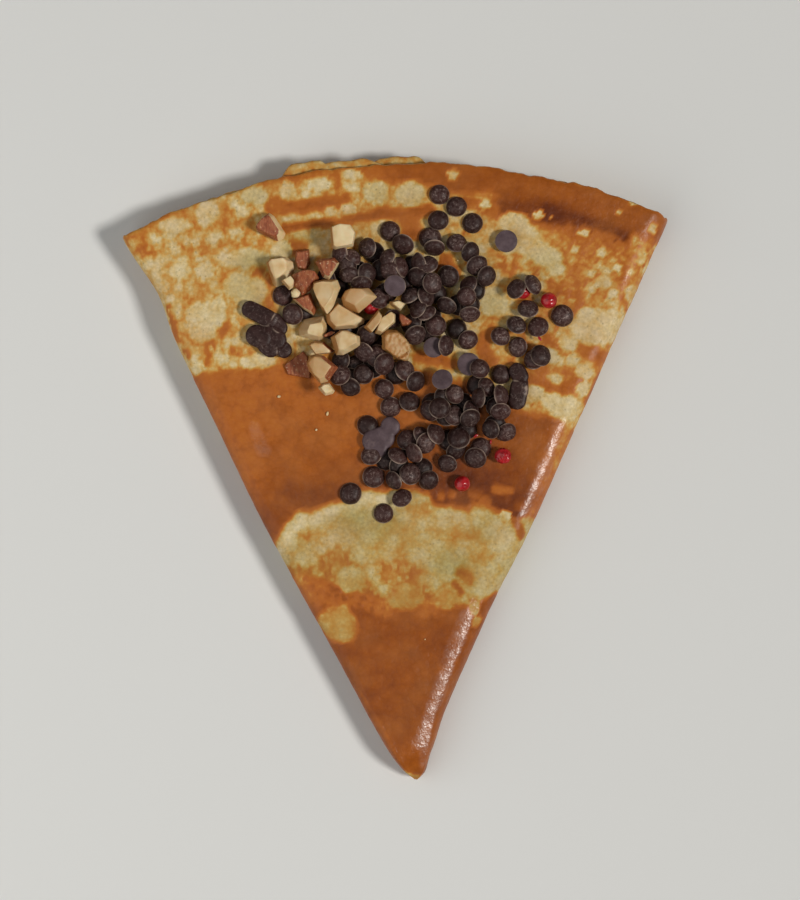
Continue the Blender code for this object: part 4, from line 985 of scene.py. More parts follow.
def place_drop(x, y, top=HEAP_TOP, flat_up=False, lean=None):
    """Adds a drop at x, y, leaned as given or so that it comes to rest lowest, and not above that top.

    A lower drop that would stand higher is left out.
    """
    size = drop_random.uniform(*DROP_SIZES)
    spin = drop_random.uniform(0.0, 2.0 * math.pi)
    oval, tall = drop_random.uniform(*DROP_OVALS), drop_random.uniform(*DROP_HEIGHTS)
    shape = np.array((size * oval, size, size * tall))
    if lean:
        tries = [tuple(math.radians(a) for a in lean)]
    else:
        tries = [(math.radians(tilt), 2.0 * math.pi * k / TILT_TURNS)
                 for tilt in (TILTS[:2] if flat_up else TILTS) for k in range(TILT_TURNS if tilt else 1)]
    best = None
    for tilt, towards in tries:
        tested = turned(dense_drop * shape, tilt, towards, spin, flat_up) + (x, y, 0.0)
        rise = ground.rest(tested)
        cost = rise + TILT_COST * tilt
        if best is None or cost < best[0]:
            best = (cost, rise, tilt, towards, tested)
    _, rise, tilt, towards, tested = best
    too_high = rise + tested[:, 2].max() - top
    if top == LOWER_TOP and too_high > 0.0:
        return
    rise -= max(0.0, too_high)
    ground.cover(tested + (0.0, 0.0, rise))
    x_own, y_own, z_own = rough_drop.T
    dents = DENT_DEPTH * grain(x_own + 31.0 * len(drop_verts), y_own + z_own, DENT_CELL, 21)
    uneven_drop = rough_drop * (1.0 + dents * (z_own > DENTS_FROM) / DROP_RADIUS * 3.0)[:, None]
    solid = turned(uneven_drop * shape, tilt, towards, spin, flat_up) + (x, y, rise)
    first = sum(len(v) for v in drop_verts)
    keep = [0, *range(DROP_SIDES, DROP_SIDES * (rings - 1)), DROP_SIDES * (rings - 1)]
    number = {old: first + new for new, old in enumerate(keep)}
    drop_verts.append(solid[keep])
    ring_of = np.array(keep) // DROP_SIDES
    drop_edge_wear_and_glint.append(np.array(RIM_WEAR_AND_GLINT)[ring_of])
    drop_flat.append((ring_of <= FLAT_RINGS).astype(float))
    gathers = bloom_random.choice(BLOOM_AND_HIGHLIGHT_GATHERS)
    dome = np.array([height for _, height in DROP_PROFILE])[ring_of] ** 2
    drop_bloom_and_highlight.append(EVEN_BLOOM + (dome - EVEN_BLOOM) * gathers)
    # The lower drops take darker tones, as painted shade
    tones = FLAT_TONES if flat_up else LOWER_SHADED_TONES if top == LOWER_TOP else DROP_TONES
    drop_tone_and_shade.append(np.full(len(keep), drop_random.uniform(*tones)))
    for ring in range(rings - 1):
        for side in range(DROP_SIDES):
            a, b = ring * DROP_SIDES + side, ring * DROP_SIDES + (side + 1) % DROP_SIDES
            c, d = b + DROP_SIDES, a + DROP_SIDES
            if ring == 0:
                corners = (0, c, d)
            elif ring == rings - 2:
                corners = (a, b, DROP_SIDES * (rings - 1))
            else:
                corners = (a, b, c, d)
            drop_faces.append(tuple(number[corner] for corner in corners))


for px, py in LOWER_DROPS:
    place_drop(*at_pixel(px, py), LOWER_TOP)
for px, py, lean, towards in LEANING_UNDER:
    place_drop(*at_pixel(px, py), lean=(lean, towards))
for px, py in HEAP_DROPS:
    place_drop(*at_pixel(px, py))
for px, py, lean, towards in LEANING_OVER:
    place_drop(*at_pixel(px, py), lean=(lean, towards))
for px, py in HEAP_FLAT_UP:
    place_drop(*at_pixel(px, py), LAST_TOP, flat_up=True)
for px, py in TOP_DROPS:
    place_drop(*at_pixel(px, py), LAST_TOP)
for x, y in STRAY_DROPS:
    place_drop(x, y)
for x, y in STRAY_FLAT_UP:
    place_drop(x, y, flat_up=True)

# Dark chocolate, cast in drops that have rubbed on each other: nearly black brown and satin, dusted with
# grey fat bloom that gathers on the domes, where it also paints their highlight, with fine pale scratches, a
# flat side painted lighter mauve grey as a reflection of the bright room, and an edge painted pale as rubbed
# wear and as its highlight
DUST_SIZE, CLOUD_SIZE, SCRATCH_SPACING, SCRATCH_BEND = 0.7 * MM, 2.4 * MM, 2.3 * MM, 5.0 * MM
DUST_RELIEF = 0.12 * MM
chocolate, tree, place = start_material("dark_chocolate")
edge = add_node(tree, "ShaderNodeAttribute", attribute_name="edge").outputs["Fac"]
level_side = add_node(tree, "ShaderNodeAttribute", attribute_name="flat").outputs["Fac"]
dust = add_node(tree, "ShaderNodeTexNoise", {
    "Vector": place, "Scale": 1.0 / DUST_SIZE, "Detail": 3.0, "Roughness": 0.6})
cloud = add_node(tree, "ShaderNodeTexNoise", {"Vector": place, "Scale": 1.0 / CLOUD_SIZE, "Detail": 2.0})
# Bloom all over, and gathered on the top of each dome, where it is also a painted highlight
crown = add_node(tree, "ShaderNodeAttribute", attribute_name="crown").outputs["Fac"]
speckled = add_node(tree, "ShaderNodeMapRange", {
    "Value": dust, "From Min": 0.35, "From Max": 0.7, "To Max": 0.65})
crown_bloom_and_highlight = add_node(tree, "ShaderNodeMapRange", {"Value": crown, "To Min": 0.08, "To Max": 0.7})
bloom_and_highlight = add_node(tree, "ShaderNodeMath", {0: speckled, 1: crown_bloom_and_highlight}, operation="MULTIPLY")
veil = add_node(tree, "ShaderNodeMapRange", {
    "Value": cloud, "From Min": 0.4, "From Max": 0.7, "To Max": 0.55})
body = add_node(tree, "ShaderNodeMix", {
    "Factor": veil, "A": colour("2E1512"), "B": colour("472C29")}, data_type="RGBA")
# The flat side: chocolate painted lighter mauve grey, as the reflection of the bright room on its smooth face
belt_side_and_reflection = add_node(tree, "ShaderNodeMix", {
    "Factor": veil, "A": colour("4A3B40"), "B": colour("6A5A60")}, data_type="RGBA")
smooth_side = add_node(tree, "ShaderNodeMix", {
    "Factor": level_side, "A": body, "B": belt_side_and_reflection}, data_type="RGBA")
dusty_and_highlit = add_node(tree, "ShaderNodeMix", {
    "Factor": bloom_and_highlight, "A": smooth_side, "B": colour("8A756F")}, data_type="RGBA")
bent = add_node(tree, "ShaderNodeVectorMath", {
    0: cloud.outputs["Color"], 1: 3 * (SCRATCH_BEND,), 2: place}, operation="MULTIPLY_ADD")
cells = add_node(tree, "ShaderNodeTexVoronoi", {
    "Vector": bent, "Scale": 1.0 / SCRATCH_SPACING}, feature="DISTANCE_TO_EDGE")
hairline = add_node(tree, "ShaderNodeMapRange", {
    "Value": cells, "From Min": 0.045, "From Max": 0.01, "To Max": 0.55})
here = add_node(tree, "ShaderNodeMapRange", {"Value": dust, "From Min": 0.46, "From Max": 0.58})
most_scratched = add_node(tree, "ShaderNodeMapRange", {"Value": crown, "To Min": 0.35})
on_dome = add_node(tree, "ShaderNodeMath", {
    0: level_side, 1: -0.8, 2: most_scratched}, operation="MULTIPLY_ADD", use_clamp=True)
partly = add_node(tree, "ShaderNodeMath", {0: hairline, 1: here}, operation="MULTIPLY")
scratch = add_node(tree, "ShaderNodeMath", {0: partly, 1: on_dome}, operation="MULTIPLY")
scratched = add_node(tree, "ShaderNodeMix", {
    "Factor": scratch, "A": dusty_and_highlit, "B": colour("A8958E")}, data_type="RGBA")
# Tone: each drop's own lightness, and painted shade on the lower drops of the heap
tone = add_node(tree, "ShaderNodeAttribute", attribute_name="tone").outputs["Fac"]
toned = add_node(tree, "ShaderNodeVectorMath", {0: scratched, "Scale": tone}, operation="SCALE")
# The edge of a drop, painted pale as rubbed wear and as the highlight it catches, and the pale seams of the
# clumps
worn = add_node(tree, "ShaderNodeMapRange", {
    "Value": cloud, "From Min": 0.3, "From Max": 0.65, "To Min": 0.25, "To Max": 1.0})
rubbed_and_glinting = add_node(tree, "ShaderNodeMath", {0: edge, 1: worn}, operation="MULTIPLY")
edged = add_node(tree, "ShaderNodeMix", {
    "Factor": rubbed_and_glinting, "A": toned, "B": colour("B8A292")}, data_type="RGBA")
rough = add_node(tree, "ShaderNodeBump", {"Height": dust, "Strength": 0.6, "Distance": DUST_RELIEF})
chocolate_shader = add_node(tree, "ShaderNodeBsdfPrincipled", {
    "Base Color": edged, "Roughness": 0.46, "IOR": 1.45, "Specular IOR Level": 0.28, "Normal": rough})
add_node(tree, "ShaderNodeOutputMaterial", {"Surface": chocolate_shader})

drop_mesh = bpy.data.meshes.new("chocolate_drops_loose")
drop_mesh.from_pydata(np.concatenate(drop_verts).tolist(), [], drop_faces)
add_values(drop_mesh, "edge", np.concatenate(drop_edge_wear_and_glint))
add_values(drop_mesh, "flat", np.concatenate(drop_flat))
add_values(drop_mesh, "crown", np.concatenate(drop_bloom_and_highlight))
add_values(drop_mesh, "tone", np.concatenate(drop_tone_and_shade))
drops = add_piece("loose_chocolate_drops", drop_mesh, chocolate)
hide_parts("chocolate_drops", *[f"drop_{number:02d}" for number in range(1, 19)])


# Melted clumps: drops that ran into one another in the warmth. Their tops are low and nearly flat, and a
# thin pale line is left where one drop overlaps the next.

# How bluntly a lobe ends, the cell that the lobes are merged with and how often that is softened. How wide
# and pale the line between two drops is, and how long its stretches. The size of hazy patches, the bloom
# outside them and what they add, and the tones of drops with their domes and with their flat sides up.
CLUMP_BLUNTNESS, CLUMP_VOXEL, CLUMP_SOFTENING = 0.55, 0.2, 3
SEAM_WIDTH, SEAM_PALENESS, SEAM_BREAKS = 0.28, 0.8, 1.7
HAZE_SIZE, CLUMP_BLOOM, CLUMP_TONES = 2.4, (0.1, 0.5), (0.75, 1.05)

# Lobes of the clumps: the drop they belong to, start and end in pixels of the photograph, radius and height
CLUMP_LOBES = (
    (1, 252, 311, 270, 320, 2.5, 2.4), (7, 276, 323, 280, 329, 2.5, 2.2), (2, 258, 337, 263, 339, 3.1, 3.1),
    (2, 271, 337, 277, 341, 3.1, 2.9), (3, 284, 350, 285, 351, 2.3, 2.2), (2, 268, 346, 272, 349, 2.7, 2.7),
    (4, 516, 372, 519, 377, 2.4, 2.6), (5, 518, 388, 516, 401, 2.6, 2.9), (4, 521, 384, 521, 392, 1.8, 2.4),
    (6, 390, 426, 391, 427, 2.6, 2.6), (6, 374, 441, 383, 438, 3.3, 2.6), (6, 376, 448, 379, 449, 2.5, 2.6),
)

# The drop whose lobes lie flat side up
FLAT_DROP = 6
clump_form = bmesh.new()
lobe_ends = []
for drop, start_x, start_y, end_x, end_y, radius, height in CLUMP_LOBES:
    start, end = Vector(at_pixel(start_x, start_y)), Vector(at_pixel(end_x, end_y))
    middle, half = 0.5 * (start + end), 0.5 * (end - start)
    lobe_ends.append((drop, start, end, radius))
    base = float(top_height(middle.x, middle.y)) + CLEARANCE
    for vert in bmesh.ops.create_uvsphere(clump_form, u_segments=40, v_segments=24, radius=1.0)["verts"]:
        flat_part = vert.co.xy.length
        blunt = radius * flat_part ** CLUMP_BLUNTNESS / max(flat_part, 1e-6)
        side = half * max(-1.0, min(1.0, 3.0 * vert.co.xy.dot(half.normalized())))
        upper = math.copysign(abs(vert.co.z) ** CLUMP_BLUNTNESS, vert.co.z)
        vert.co = Vector((middle.x + side.x + blunt * vert.co.x, middle.y + side.y + blunt * vert.co.y,
                          base + 0.5 * height * (1.0 + upper)))
clump_mesh = bpy.data.meshes.new("melted_clumps")
clump_form.to_mesh(clump_mesh)
clump_form.free()
rough_clumps = bpy.data.objects.new("rough_clumps", clump_mesh)
bpy.context.scene.collection.objects.link(rough_clumps)
merge = rough_clumps.modifiers.new("merge", "REMESH")
merge.mode = "VOXEL"
merge.voxel_size = CLUMP_VOXEL
soften = rough_clumps.modifiers.new("soften", "SMOOTH")
soften.iterations = CLUMP_SOFTENING
merged = bpy.data.meshes.new_from_object(rough_clumps.evaluated_get(bpy.context.evaluated_depsgraph_get()))
bpy.data.objects.remove(rough_clumps)
merged.name = "melted_clumps"
clump_points = np.array([vert.co for vert in merged.vertices])
to_drops = {}
for drop, start, end, radius in lobe_ends:
    along = np.clip((clump_points[:, :2] - start) @ (end - start) / (end - start).length_squared, 0.0, 1.0)
    near = clump_points[:, :2] - start - along[:, None] * np.array(end - start)
    to_drops[drop] = np.minimum(to_drops.get(drop, np.inf), np.hypot(*near.T) - radius)
flat_clump = (to_drops[FLAT_DROP] < 0.3).astype(float)
nearest, second = np.sort(list(to_drops.values()), axis=0)[:2]
broken = smooth(-0.4, 0.3, grain(clump_points[:, 0], clump_points[:, 1], SEAM_BREAKS, 31))
upward = np.array([vert.normal.z for vert in merged.vertices])
on_top = smooth(0.3, 0.8, upward) * (1.0 - flat_clump)
add_values(merged, "edge", SEAM_PALENESS * broken * on_top * hump(second - nearest, 0.0, SEAM_WIDTH))
add_values(merged, "flat", flat_clump)
hazy = smooth(0.0, 0.6, grain(clump_points[:, 0], clump_points[:, 1], HAZE_SIZE, 33))
add_values(merged, "crown", CLUMP_BLOOM[0] + CLUMP_BLOOM[1] * hazy)
add_values(merged, "tone", CLUMP_TONES[0] + (CLUMP_TONES[1] - CLUMP_TONES[0]) * flat_clump)
clump_piece = add_piece("melted_drop_clumps", merged, chocolate)
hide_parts("drop_clump_1", "drop_clump_2")
ground.cover(clump_points)


# Chopped almonds: pieces of kernel broken along flat faces, cream inside, some with the brown skin still
# on the outside. Each is laid on what is under it.

# Height, shift of the upper face to the right and up in millimetres, its size as a share of the outline,
# the side that keeps its skin, and the outline in pixels of the photograph
ALMONDS = (
    (4.6, -0.9, 0.5, 0.74, "left", (271, 216), (276, 219), (282, 229), (287, 236), (285, 241), (280, 244),
     (273, 241), (259, 234), (258, 229), (264, 221)),
    (5.0, 0.2, 0.2, 0.88, "", (331, 231), (340, 228), (351, 229), (356, 237), (354, 250), (336, 253),
     (333, 251)),
    (4.8, -0.5, 0.9, 0.7, "", (268, 266), (272, 262), (280, 260), (288, 260), (294, 265), (295, 271),
     (293, 277), (282, 288), (278, 289), (275, 287), (271, 278)),
    (2.8, 0.2, 0.4, 0.8, "", (283, 284), (292, 279), (296, 284), (295, 290), (291, 293)),
    (3.6, 0.0, 0.0, 0.8, "whole", (297, 253), (310, 251), (311, 265), (307, 273), (299, 271), (296, 263)),
    (4.2, 0.3, 0.0, 0.74, "upper left", (317, 265), (322, 262), (335, 261), (340, 266), (338, 271),
     (330, 283), (324, 280), (320, 273)),
    (3.8, 0.3, 0.6, 0.72, "whole", (294, 278), (300, 275), (310, 274), (317, 276), (320, 281), (315, 286),
     (311, 294), (303, 299), (295, 288)),
    (4.0, -0.3, 0.2, 0.74, "upper right", (294, 301), (312, 295), (313, 302), (318, 311), (315, 317),
     (306, 312), (300, 306)),
    (4.6, -0.9, 0.3, 0.78, "", (316, 285), (326, 283), (339, 283), (342, 291), (339, 300), (335, 309),
     (329, 317), (324, 312), (319, 302), (315, 291)),
    (5.0, -0.9, 0.8, 0.64, "", (343, 301), (347, 294), (354, 291), (370, 291), (378, 300), (360, 316),
     (351, 313), (345, 309)),
    (4.4, 0.0, 0.4, 0.8, "", (338, 305), (342, 309), (351, 316), (365, 321), (364, 325), (357, 330),
     (346, 332), (335, 332), (328, 325), (327, 317)),
    (4.6, 1.6, 0.0, 0.56, "", (299, 331), (304, 321), (311, 320), (324, 317), (327, 324), (327, 332),
     (324, 340), (319, 342), (311, 340), (299, 337)),
    (4.2, 0.4, -0.3, 0.85, "", (378, 312), (382, 317), (380, 324), (371, 335), (364, 329), (371, 321)),
    (4.4, 0.2, 0.3, 0.85, "", (391, 314), (395, 317), (395, 325), (389, 330), (381, 337), (375, 335),
     (380, 326), (380, 321)),
    (3.2, 0.5, 0.0, 0.7, "", (389, 304), (397, 302), (405, 306), (400, 313), (397, 312), (390, 307)),
    (2.4, 0.0, 0.0, 0.8, "whole", (399, 315), (403, 316), (412, 323), (409, 327), (402, 328), (399, 321)),
    (4.8, 0.2, 0.8, 0.75, "", (332, 340), (341, 333), (348, 333), (360, 339), (361, 348), (353, 353),
     (344, 357), (337, 357), (335, 347)),
    (5.2, -0.4, 0.2, 0.88, "", (386, 332), (395, 332), (403, 337), (408, 345), (410, 350), (408, 360),
     (404, 362), (396, 360), (390, 355), (382, 350), (382, 337)),
    (3.4, -0.4, -0.2, 0.8, "edge", (310, 345), (315, 342), (325, 343), (332, 348), (336, 352), (333, 354),
     (323, 356), (317, 356), (313, 351)),
    (4.8, -0.6, 0.3, 0.75, "edge", (309, 365), (312, 358), (317, 356), (325, 357), (329, 360), (339, 369),
     (338, 372), (330, 382), (323, 386), (315, 378), (311, 372)),
    (3.0, 0.3, 0.2, 0.7, "", (319, 389), (323, 385), (330, 384), (336, 392), (334, 395), (326, 397),
     (323, 394)),
    (1.6, 0.0, 0.0, 0.95, "whole", (285, 366), (294, 359), (304, 352), (308, 357), (311, 369), (311, 379),
     (300, 376), (289, 375)),
)

# The one that broke across the grain, and its crack in pixels, with the width and depth in millimetres
BROKEN = 18
CRACK = ((396, 355), (401, 352), (407, 348))
CRACK_WIDTH, CRACK_DEPTH = 0.28, 0.8

# The pieces in the slot of almond skin, and how much tanner the cut faces of some pieces are, from 0 to 1:
# their own tan, and painted shade on pieces that lie in the shade of others
SKINNED = (1, 5, 6, 7, 8, 16, 22)
TAN_AND_SHADE = {
    1: 0.1, 3: 0.25, 9: 0.4, 10: 0.85, 11: 0.45, 12: 0.05, 13: 0.7, 14: 0.3, 17: 0.35, 18: 0.9, 19: 0.4,
    20: 0.75,
}

# Where each kind of skin starts: a direction, and how far a face must look that way to keep it. A piece
# with no kind named has no skin.
SKIN_SIDES = {
    "whole": ((0.0, 0.0, 1.0), -0.25), "left": ((-0.6, 0.0, 0.8), 0.15),
    "upper left": ((-0.4, 0.5, 0.77), 0.05), "upper right": ((0.5, 0.4, 0.77), 0.1),
    "edge": ((0.96, 0.1, -0.2), 0.35), "": ((0.0, 0.0, 0.0), 1.0),
}

# The order in which the pieces are laid
LAID_FIRST = (22, 5, 6, 8, 7, 3, 4, 1, 2, 11, 12, 9, 10, 13, 14, 15, 16, 19, 17, 18, 20, 21)

# Layers of the outline that a piece is the hull of: height, size and share of the shift, each from bottom
# to top, with the size of the upper one left to each piece
OUTLINE_LAYERS = ((0.0, 0.9, 0.0), (0.35, 1.02, 0.2), (1.0, None, 1.0))
OUTLINE_SIZES, LEVEL_SHIFTS = (0.98, 1.03), (-0.07, 0.07)

# Faces that meet at less than this angle become one, edges are rounded by the bevel, and then the faces are
# divided until no edge is longer than this, or than a share of it on the one that broke across the grain
FLATTEST_BREAK = math.radians(14.0)
ALMOND_BEVEL = 0.2
LONGEST_EDGE, BROKEN_EDGE_SHARE = 0.7, 0.4

# Bumps of the broken faces: height and cell, and what the one that broke across the grain has besides
BUMP_HEIGHT, BUMP_CELL = 0.05, 1.5
RAGGED_HEIGHT, RAGGED_CELL = 0.12, 0.7

# Leans in degrees that a piece may come to rest at, how many millimetres of height a degree counts for, how
# far it may sink in between what is there, and how high it may reach
ALMOND_LEANS, ALMOND_LEAN_COST = (0.0, 7.0, 14.0, 20.0), 0.06
ALMOND_SINK, ALMOND_TOP = 0.6, 22.8

# How dark and tan a face is painted as shade: some on all, less as it looks up, right or front, towards
# the window, and more in the crack
SHADE_BASE, SHADE_WAY, CRACK_SHADE = 0.4, Vector((-0.75, 0.2, -0.5)), 0.9
almond_random = random.Random(5)
almond_meshes = {"cut_almonds": bmesh.new(), "skinned_almonds": bmesh.new()}
for form in almond_meshes.values():
    form.verts.layers.float.new("skin")
    form.verts.layers.float.new("dry_and_shade")


def almond_form(height, lean_x, lean_y, upper, outline, broken):
    """A broken piece of kernel with this outline: the hull of a base, a girdle and an upper face."""
    form = bmesh.new()
    middle = Vector((sum(x for x, _ in outline), sum(y for _, y in outline))) / len(outline)
    for level, scale, share in OUTLINE_LAYERS:
        for x, y in outline:
            size = (scale or upper) * almond_random.uniform(*OUTLINE_SIZES)
            z = height * (level + almond_random.uniform(*LEVEL_SHIFTS) * (level > 0.0))
            x_at, y_at = size * (x - middle.x) + share * lean_x, size * (y - middle.y) + share * lean_y
            form.verts.new((x_at, y_at, z))
    hull = bmesh.ops.convex_hull(form, input=form.verts)
    unused = hull["geom_interior"] + hull["geom_unused"]
    loose = {item for item in unused if isinstance(item, bmesh.types.BMVert)}
    bmesh.ops.delete(form, geom=list(loose), context="VERTS")
    bmesh.ops.dissolve_limit(form, angle_limit=FLATTEST_BREAK, verts=form.verts, edges=form.edges)
    bmesh.ops.bevel(form, geom=form.edges[:], offset=ALMOND_BEVEL, segments=2, profile=0.5, affect="EDGES",
                    clamp_overlap=True)
    bmesh.ops.triangulate(form, faces=form.faces)
    longest = LONGEST_EDGE * (BROKEN_EDGE_SHARE if broken else 1.0)
    for _ in range(5):
        long_edges = [edge for edge in form.edges if edge.calc_length() > longest]
        bmesh.ops.subdivide_edges(form, edges=long_edges, cuts=1)
        bmesh.ops.triangulate(form, faces=form.faces)
    bmesh.ops.recalc_face_normals(form, faces=form.faces)
    form.normal_update()
    at_x, at_y, at_z = np.array([vert.co for vert in form.verts]).T
    bumps = grain(at_x + at_z + middle.x, at_y - 0.6 * at_z + middle.y, BUMP_CELL, 51)
    bumps += broken * grain(at_x - at_z, at_y + middle.y, RAGGED_CELL, 53)
    away = track_distance(at_x + middle.x + 0.2 * bumps, at_y + middle.y + 0.2 * at_z, CRACK)
    cracks = broken * hump(away, 0.0, CRACK_WIDTH)
    for vert, bump, crack in zip(form.verts, bumps, cracks):
        vert.co += vert.normal * ((BUMP_HEIGHT + RAGGED_HEIGHT * broken) * bump - CRACK_DEPTH * crack)
    return form, middle, cracks


def from_lowest(corners):
    """The corners of a face in the same turn, from the lowest number on."""
    start = corners.index(min(corners))
    return corners[start:] + corners[:start]


for number in LAID_FIRST:
    height, lean_x, lean_y, upper, skin_side, *pixels = ALMONDS[number - 1]
    outline = [at_pixel(*pixel) for pixel in pixels]
    broken = 1.0 if number == BROKEN else 0.0
    form, middle, cracks = almond_form(height, lean_x, lean_y, upper, outline, broken)
    form.normal_update()
    solid = np.array([vert.co for vert in form.verts])
    lowest, laid = math.inf, None
    for degrees in ALMOND_LEANS:
        for k in range(TILT_TURNS if degrees else 1):
            towards = 2.0 * math.pi * k / TILT_TURNS
            tried = turned(solid, math.radians(degrees), towards, 0.0) + (middle.x, middle.y, 0.0)
            rise = min(ground.rest(tried) - ALMOND_SINK, ALMOND_TOP - tried[:, 2].max())
            if rise + ALMOND_LEAN_COST * degrees < lowest:
                lowest, laid = rise + ALMOND_LEAN_COST * degrees, tried + (0.0, 0.0, rise)
    for a, b in ((0.5, 0.5), (0.25, 0.75), (0.75, 0.25)):
        ground.cover(np.array([a * laid[e.verts[0].index] + b * laid[e.verts[1].index] for e in form.edges]))
    ground.cover(laid)
    target = almond_meshes["skinned_almonds" if number in SKINNED else "cut_almonds"]
    skin_layer, dry_and_shade_layer = target.verts.layers.float["skin"], target.verts.layers.float["dry_and_shade"]
    added = []
    skin_way, skin_from = SKIN_SIDES[skin_side]
    for vert, co, crack in zip(form.verts, laid, cracks):
        new = target.verts.new(co)
        new[skin_layer] = 1.0 if vert.normal.dot(Vector(skin_way)) > skin_from else 0.0
        # Painted shade on faces turned from the window and in the crack, with each piece's own tan
        dryness_and_shade = SHADE_BASE + vert.normal.dot(SHADE_WAY) + CRACK_SHADE * crack
        new[dry_and_shade_layer] = min(1.0, max(0.0, dryness_and_shade + TAN_AND_SHADE.get(number, 0.0)))
        added.append(new)

    # A hull's faces come in another order each time, so they are sorted
    for corners in sorted(from_lowest([vert.index for vert in face.verts]) for face in form.faces):
        target.faces.new([added[corner] for corner in corners])
    form.free()

# Almond kernel: matt and waxy, cream to tan where it dried and where shade is painted, on faces turned
# from the window and in the crack, and a little translucent; its skin is a dull red brown with fine
# lengthwise fibres and crumbs of kernel on it
FLESH_SIZE, FIBRE_WIDTH, CRUMB_SIZE = 3.5 * MM, 0.6 * MM, 0.7 * MM
FIBRE_RELIEF, KERNEL_DEPTH = 0.12 * MM, 0.8 * MM
almond, tree, place = start_material("cut_almond")
skin = add_node(tree, "ShaderNodeAttribute", attribute_name="skin").outputs["Fac"]
flesh_noise = add_node(tree, "ShaderNodeTexNoise", {
    "Vector": place, "Scale": 1.0 / FLESH_SIZE, "Detail": 2.0})
flesh = add_node(tree, "ShaderNodeValToRGB", {"Fac": flesh_noise}, stops=(
    (0.3, "E7D4AA"), (0.5, "DFC697"), (0.72, "D1AC74")))
stretched = add_node(tree, "ShaderNodeMapping", {
    "Vector": place, "Rotation": (0.0, 0.0, 0.35), "Scale": (1.0, 0.34, 0.6)})
fibre = add_node(tree, "ShaderNodeTexNoise", {
    "Vector": stretched, "Scale": 1.0 / FIBRE_WIDTH, "Detail": 2.0})
husk = add_node(tree, "ShaderNodeValToRGB", {"Fac": fibre}, stops=(
    (0.14, "5A2512"), (0.5, "9C5432"), (0.9, "BE8A5E")))
crumb = add_node(tree, "ShaderNodeTexNoise", {"Vector": place, "Scale": 1.0 / CRUMB_SIZE, "Detail": 3.0})
crumbs = add_node(tree, "ShaderNodeMapRange", {
    "Value": crumb, "From Min": 0.62, "From Max": 0.7, "To Max": 0.6})
dusted = add_node(tree, "ShaderNodeMix", {
    "Factor": crumbs, "A": husk, "B": colour("DFC39C")}, data_type="RGBA")
# Tan where a piece dried, and painted shade on faces turned from the window and in the crack
dry_and_shade = add_node(tree, "ShaderNodeAttribute", attribute_name="dry_and_shade").outputs["Fac"]
faced = add_node(tree, "ShaderNodeMix", {"Factor": dry_and_shade, "A": flesh, "B": colour("AB7841")}, data_type="RGBA")
coat = add_node(tree, "ShaderNodeMix", {"Factor": skin, "A": faced, "B": dusted}, data_type="RGBA")
nut_bump = add_node(tree, "ShaderNodeBump", {"Height": fibre, "Strength": 0.35, "Distance": FIBRE_RELIEF})
almond_shader = add_node(tree, "ShaderNodeBsdfPrincipled", {
    "Base Color": coat, "Roughness": 0.52, "IOR": 1.46, "Subsurface Weight": 0.12,
    "Subsurface Scale": KERNEL_DEPTH, "Normal": nut_bump})
add_node(tree, "ShaderNodeOutputMaterial", {"Surface": almond_shader})

for name, form in almond_meshes.items():
    mesh = bpy.data.meshes.new(name)
    form.to_mesh(mesh)
    form.free()
    piece = add_piece(name, mesh, almond)
    own = [number for number in range(1, 23) if (number in SKINNED) == (name == "skinned_almonds")]
    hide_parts(*[f"almond_{number:02d}" for number in own])


# Crumbs: what fell off the toppings as they were chopped and strewn, lying loose on the crepe and the
# heap. Bits of broken pepper husk, a chip and a few grains of almond, and a sliver of almond skin.

# Pixel, length, width and height in millimetres, and turn in degrees
HUSK_BITS = ((475, 436, 1.5, 0.7, 0.3, 30), (490, 442, 1.2, 0.6, 0.3, 80), (538, 340, 1.6, 0.7, 0.3, 130))
ALMOND_CRUMBS = (
    (297, 296, 2.6, 2.3, 1.8, 15), (280, 397, 0.9, 0.8, 0.6, 0), (328, 414, 1.4, 0.6, 0.5, 75),
    (317, 430, 0.7, 0.6, 0.5, 40), (425, 638, 0.4, 0.4, 0.3, 0), (457, 262, 0.6, 0.5, 0.4, 20),
)
SKIN_SLIVER = ((330, 336, 3.3, 0.9, 0.5, 20),)
CRUMB_RUGGEDNESS = 0.22
for name, bits, material, slot in (("pepper_husk_bits", HUSK_BITS, pepper, "pink_pepper"),
                                   ("almond_crumbs", ALMOND_CRUMBS, almond, "almond"),
                                   ("almond_skin_sliver", SKIN_SLIVER, almond, "almond_skin")):
    form = bmesh.new()
    for number, (px, py, length, width, height, degrees) in enumerate(bits):
        ball = bmesh.ops.create_icosphere(form, subdivisions=3, radius=0.5)["verts"]
        shape = np.array([vert.co for vert in ball])
        own_x, own_y, own_z = shape.T
        rugged = CRUMB_RUGGEDNESS * grain(3.0 * own_x + number, 3.0 * own_y + 2.0 * own_z, 1.0, 60 + number)
        shape = shape * (1.0 + rugged)[:, None] * (length, width, height)
        shape = shape @ np.array(Matrix.Rotation(math.radians(degrees), 3, "Z")).T + (*at_pixel(px, py), 0.0)
        shape += (0.0, 0.0, ground.rest(shape))
        for vert, co in zip(ball, shape):
            vert.co = co
    mesh = bpy.data.meshes.new(name)
    form.to_mesh(mesh)
    form.free()
    add_values(mesh, "skin", np.full(len(mesh.vertices), 1.0 if slot == "almond_skin" else 0.0))
    piece = add_piece(name, mesh, material)


# The floor: a plain pale table top that the crepe lies on. It is there for the shadow and isn't part of
# the crepe.

FLOOR_SIZE = 3000.0 * MM
half_floor = 0.5 * FLOOR_SIZE
floor_mesh = bpy.data.meshes.new("table_top")
floor_mesh.from_pydata([(x, y, 0.0) for x, y in ((-1, -1), (1, -1), (1, 1), (-1, 1))], [], [(0, 1, 2, 3)])
floor_mesh.transform(Matrix.Scale(half_floor, 4))
floor = bpy.data.objects.new("table_top", floor_mesh)
bpy.context.scene.collection.objects.link(floor)

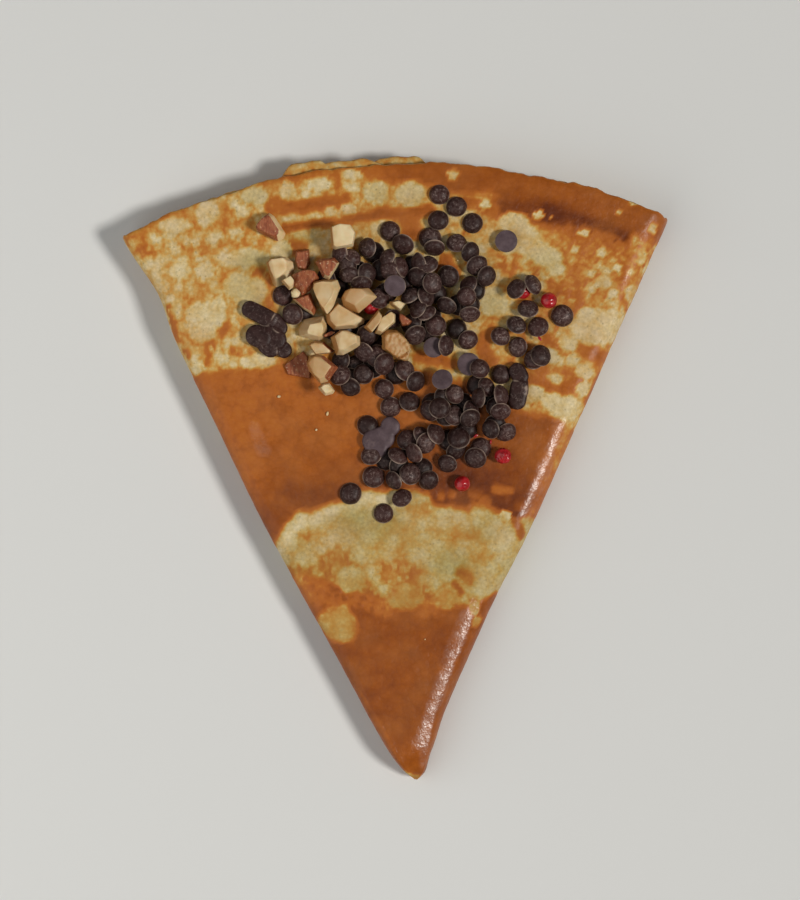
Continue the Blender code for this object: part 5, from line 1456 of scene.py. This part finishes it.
# Melamine laminate, pressed on board: an even pale grey, matt, with no pattern
table = bpy.data.materials.new("pale_laminate")
table.use_nodes = True
table_shader = table.node_tree.nodes["Principled BSDF"]
table_shader.inputs["Base Color"].default_value = colour("DEE0E0")
table_shader.inputs["Roughness"].default_value = 0.7
floor_mesh.materials.append(table)


# Light: a window at the right, a little below the crepe in the picture, which throws the soft shadow, a
# wide pale reflector at the lower left, a faint glow from the back wall, and the dim room.

# Turn about the upright and height above the table in degrees, distance and size in metres, power in
# watts, colour
LIGHTS = {
    "window": (-13.0, 50.5, 5.0, 1.0, 162.0, "FFFAF3"),
    "reflector": (203.0, 42.0, 0.75, 1.2, 3.3, "FFFDF8"),
    "back_wall": (110.0, 48.0, 2.0, 1.6, 1.6, "FAFCFF"),
}
ROOM_LIGHT = 0.07
for name, (turn, climb, distance, size, power, tone) in LIGHTS.items():
    lamp = bpy.data.lights.new(name, "AREA")
    lamp.shape = "DISK"
    lamp.size = size
    lamp.energy = power
    lamp.color = colour(tone)[:3]
    light = bpy.data.objects.new(name, lamp)
    turn, climb = math.radians(turn), math.radians(climb)
    towards = Vector((math.cos(turn) * math.cos(climb), math.sin(turn) * math.cos(climb), math.sin(climb)))
    light.location = distance * towards
    light.rotation_euler = towards.to_track_quat("Z", "Y").to_euler()
    bpy.context.scene.collection.objects.link(light)

room = bpy.data.worlds.new("pale_room")
room.use_nodes = True
background = room.node_tree.nodes["Background"]
background.inputs["Color"].default_value = colour("F8F8F6")
background.inputs["Strength"].default_value = ROOM_LIGHT
bpy.context.scene.world = room
bpy.context.scene.view_settings.view_transform = "Standard"


# Camera: straight down over the middle of the photograph, as far away as its lens needs for the height of
# the picture. It is true to size at about half the height of the stack.

PICTURE_MIDDLE = (400.0, 450.0)
PICTURE_HEIGHT = 900.0
LENS, SENSOR = 100.0, 36.0
TRUE_SIZE_LEVEL = 8.0
view = bpy.data.cameras.new("camera")
view.lens = LENS
view.sensor_width = SENSOR
view.clip_start = 0.01
camera = bpy.data.objects.new("camera", view)
middle_x, middle_y = at_pixel(*PICTURE_MIDDLE)
away = LENS * PICTURE_HEIGHT * PIXEL / SENSOR
camera.location = MM * Vector((middle_x + ROW_SHIFT.x, middle_y + ROW_SHIFT.y, TRUE_SIZE_LEVEL + away))
bpy.context.scene.collection.objects.link(camera)
bpy.context.scene.camera = camera
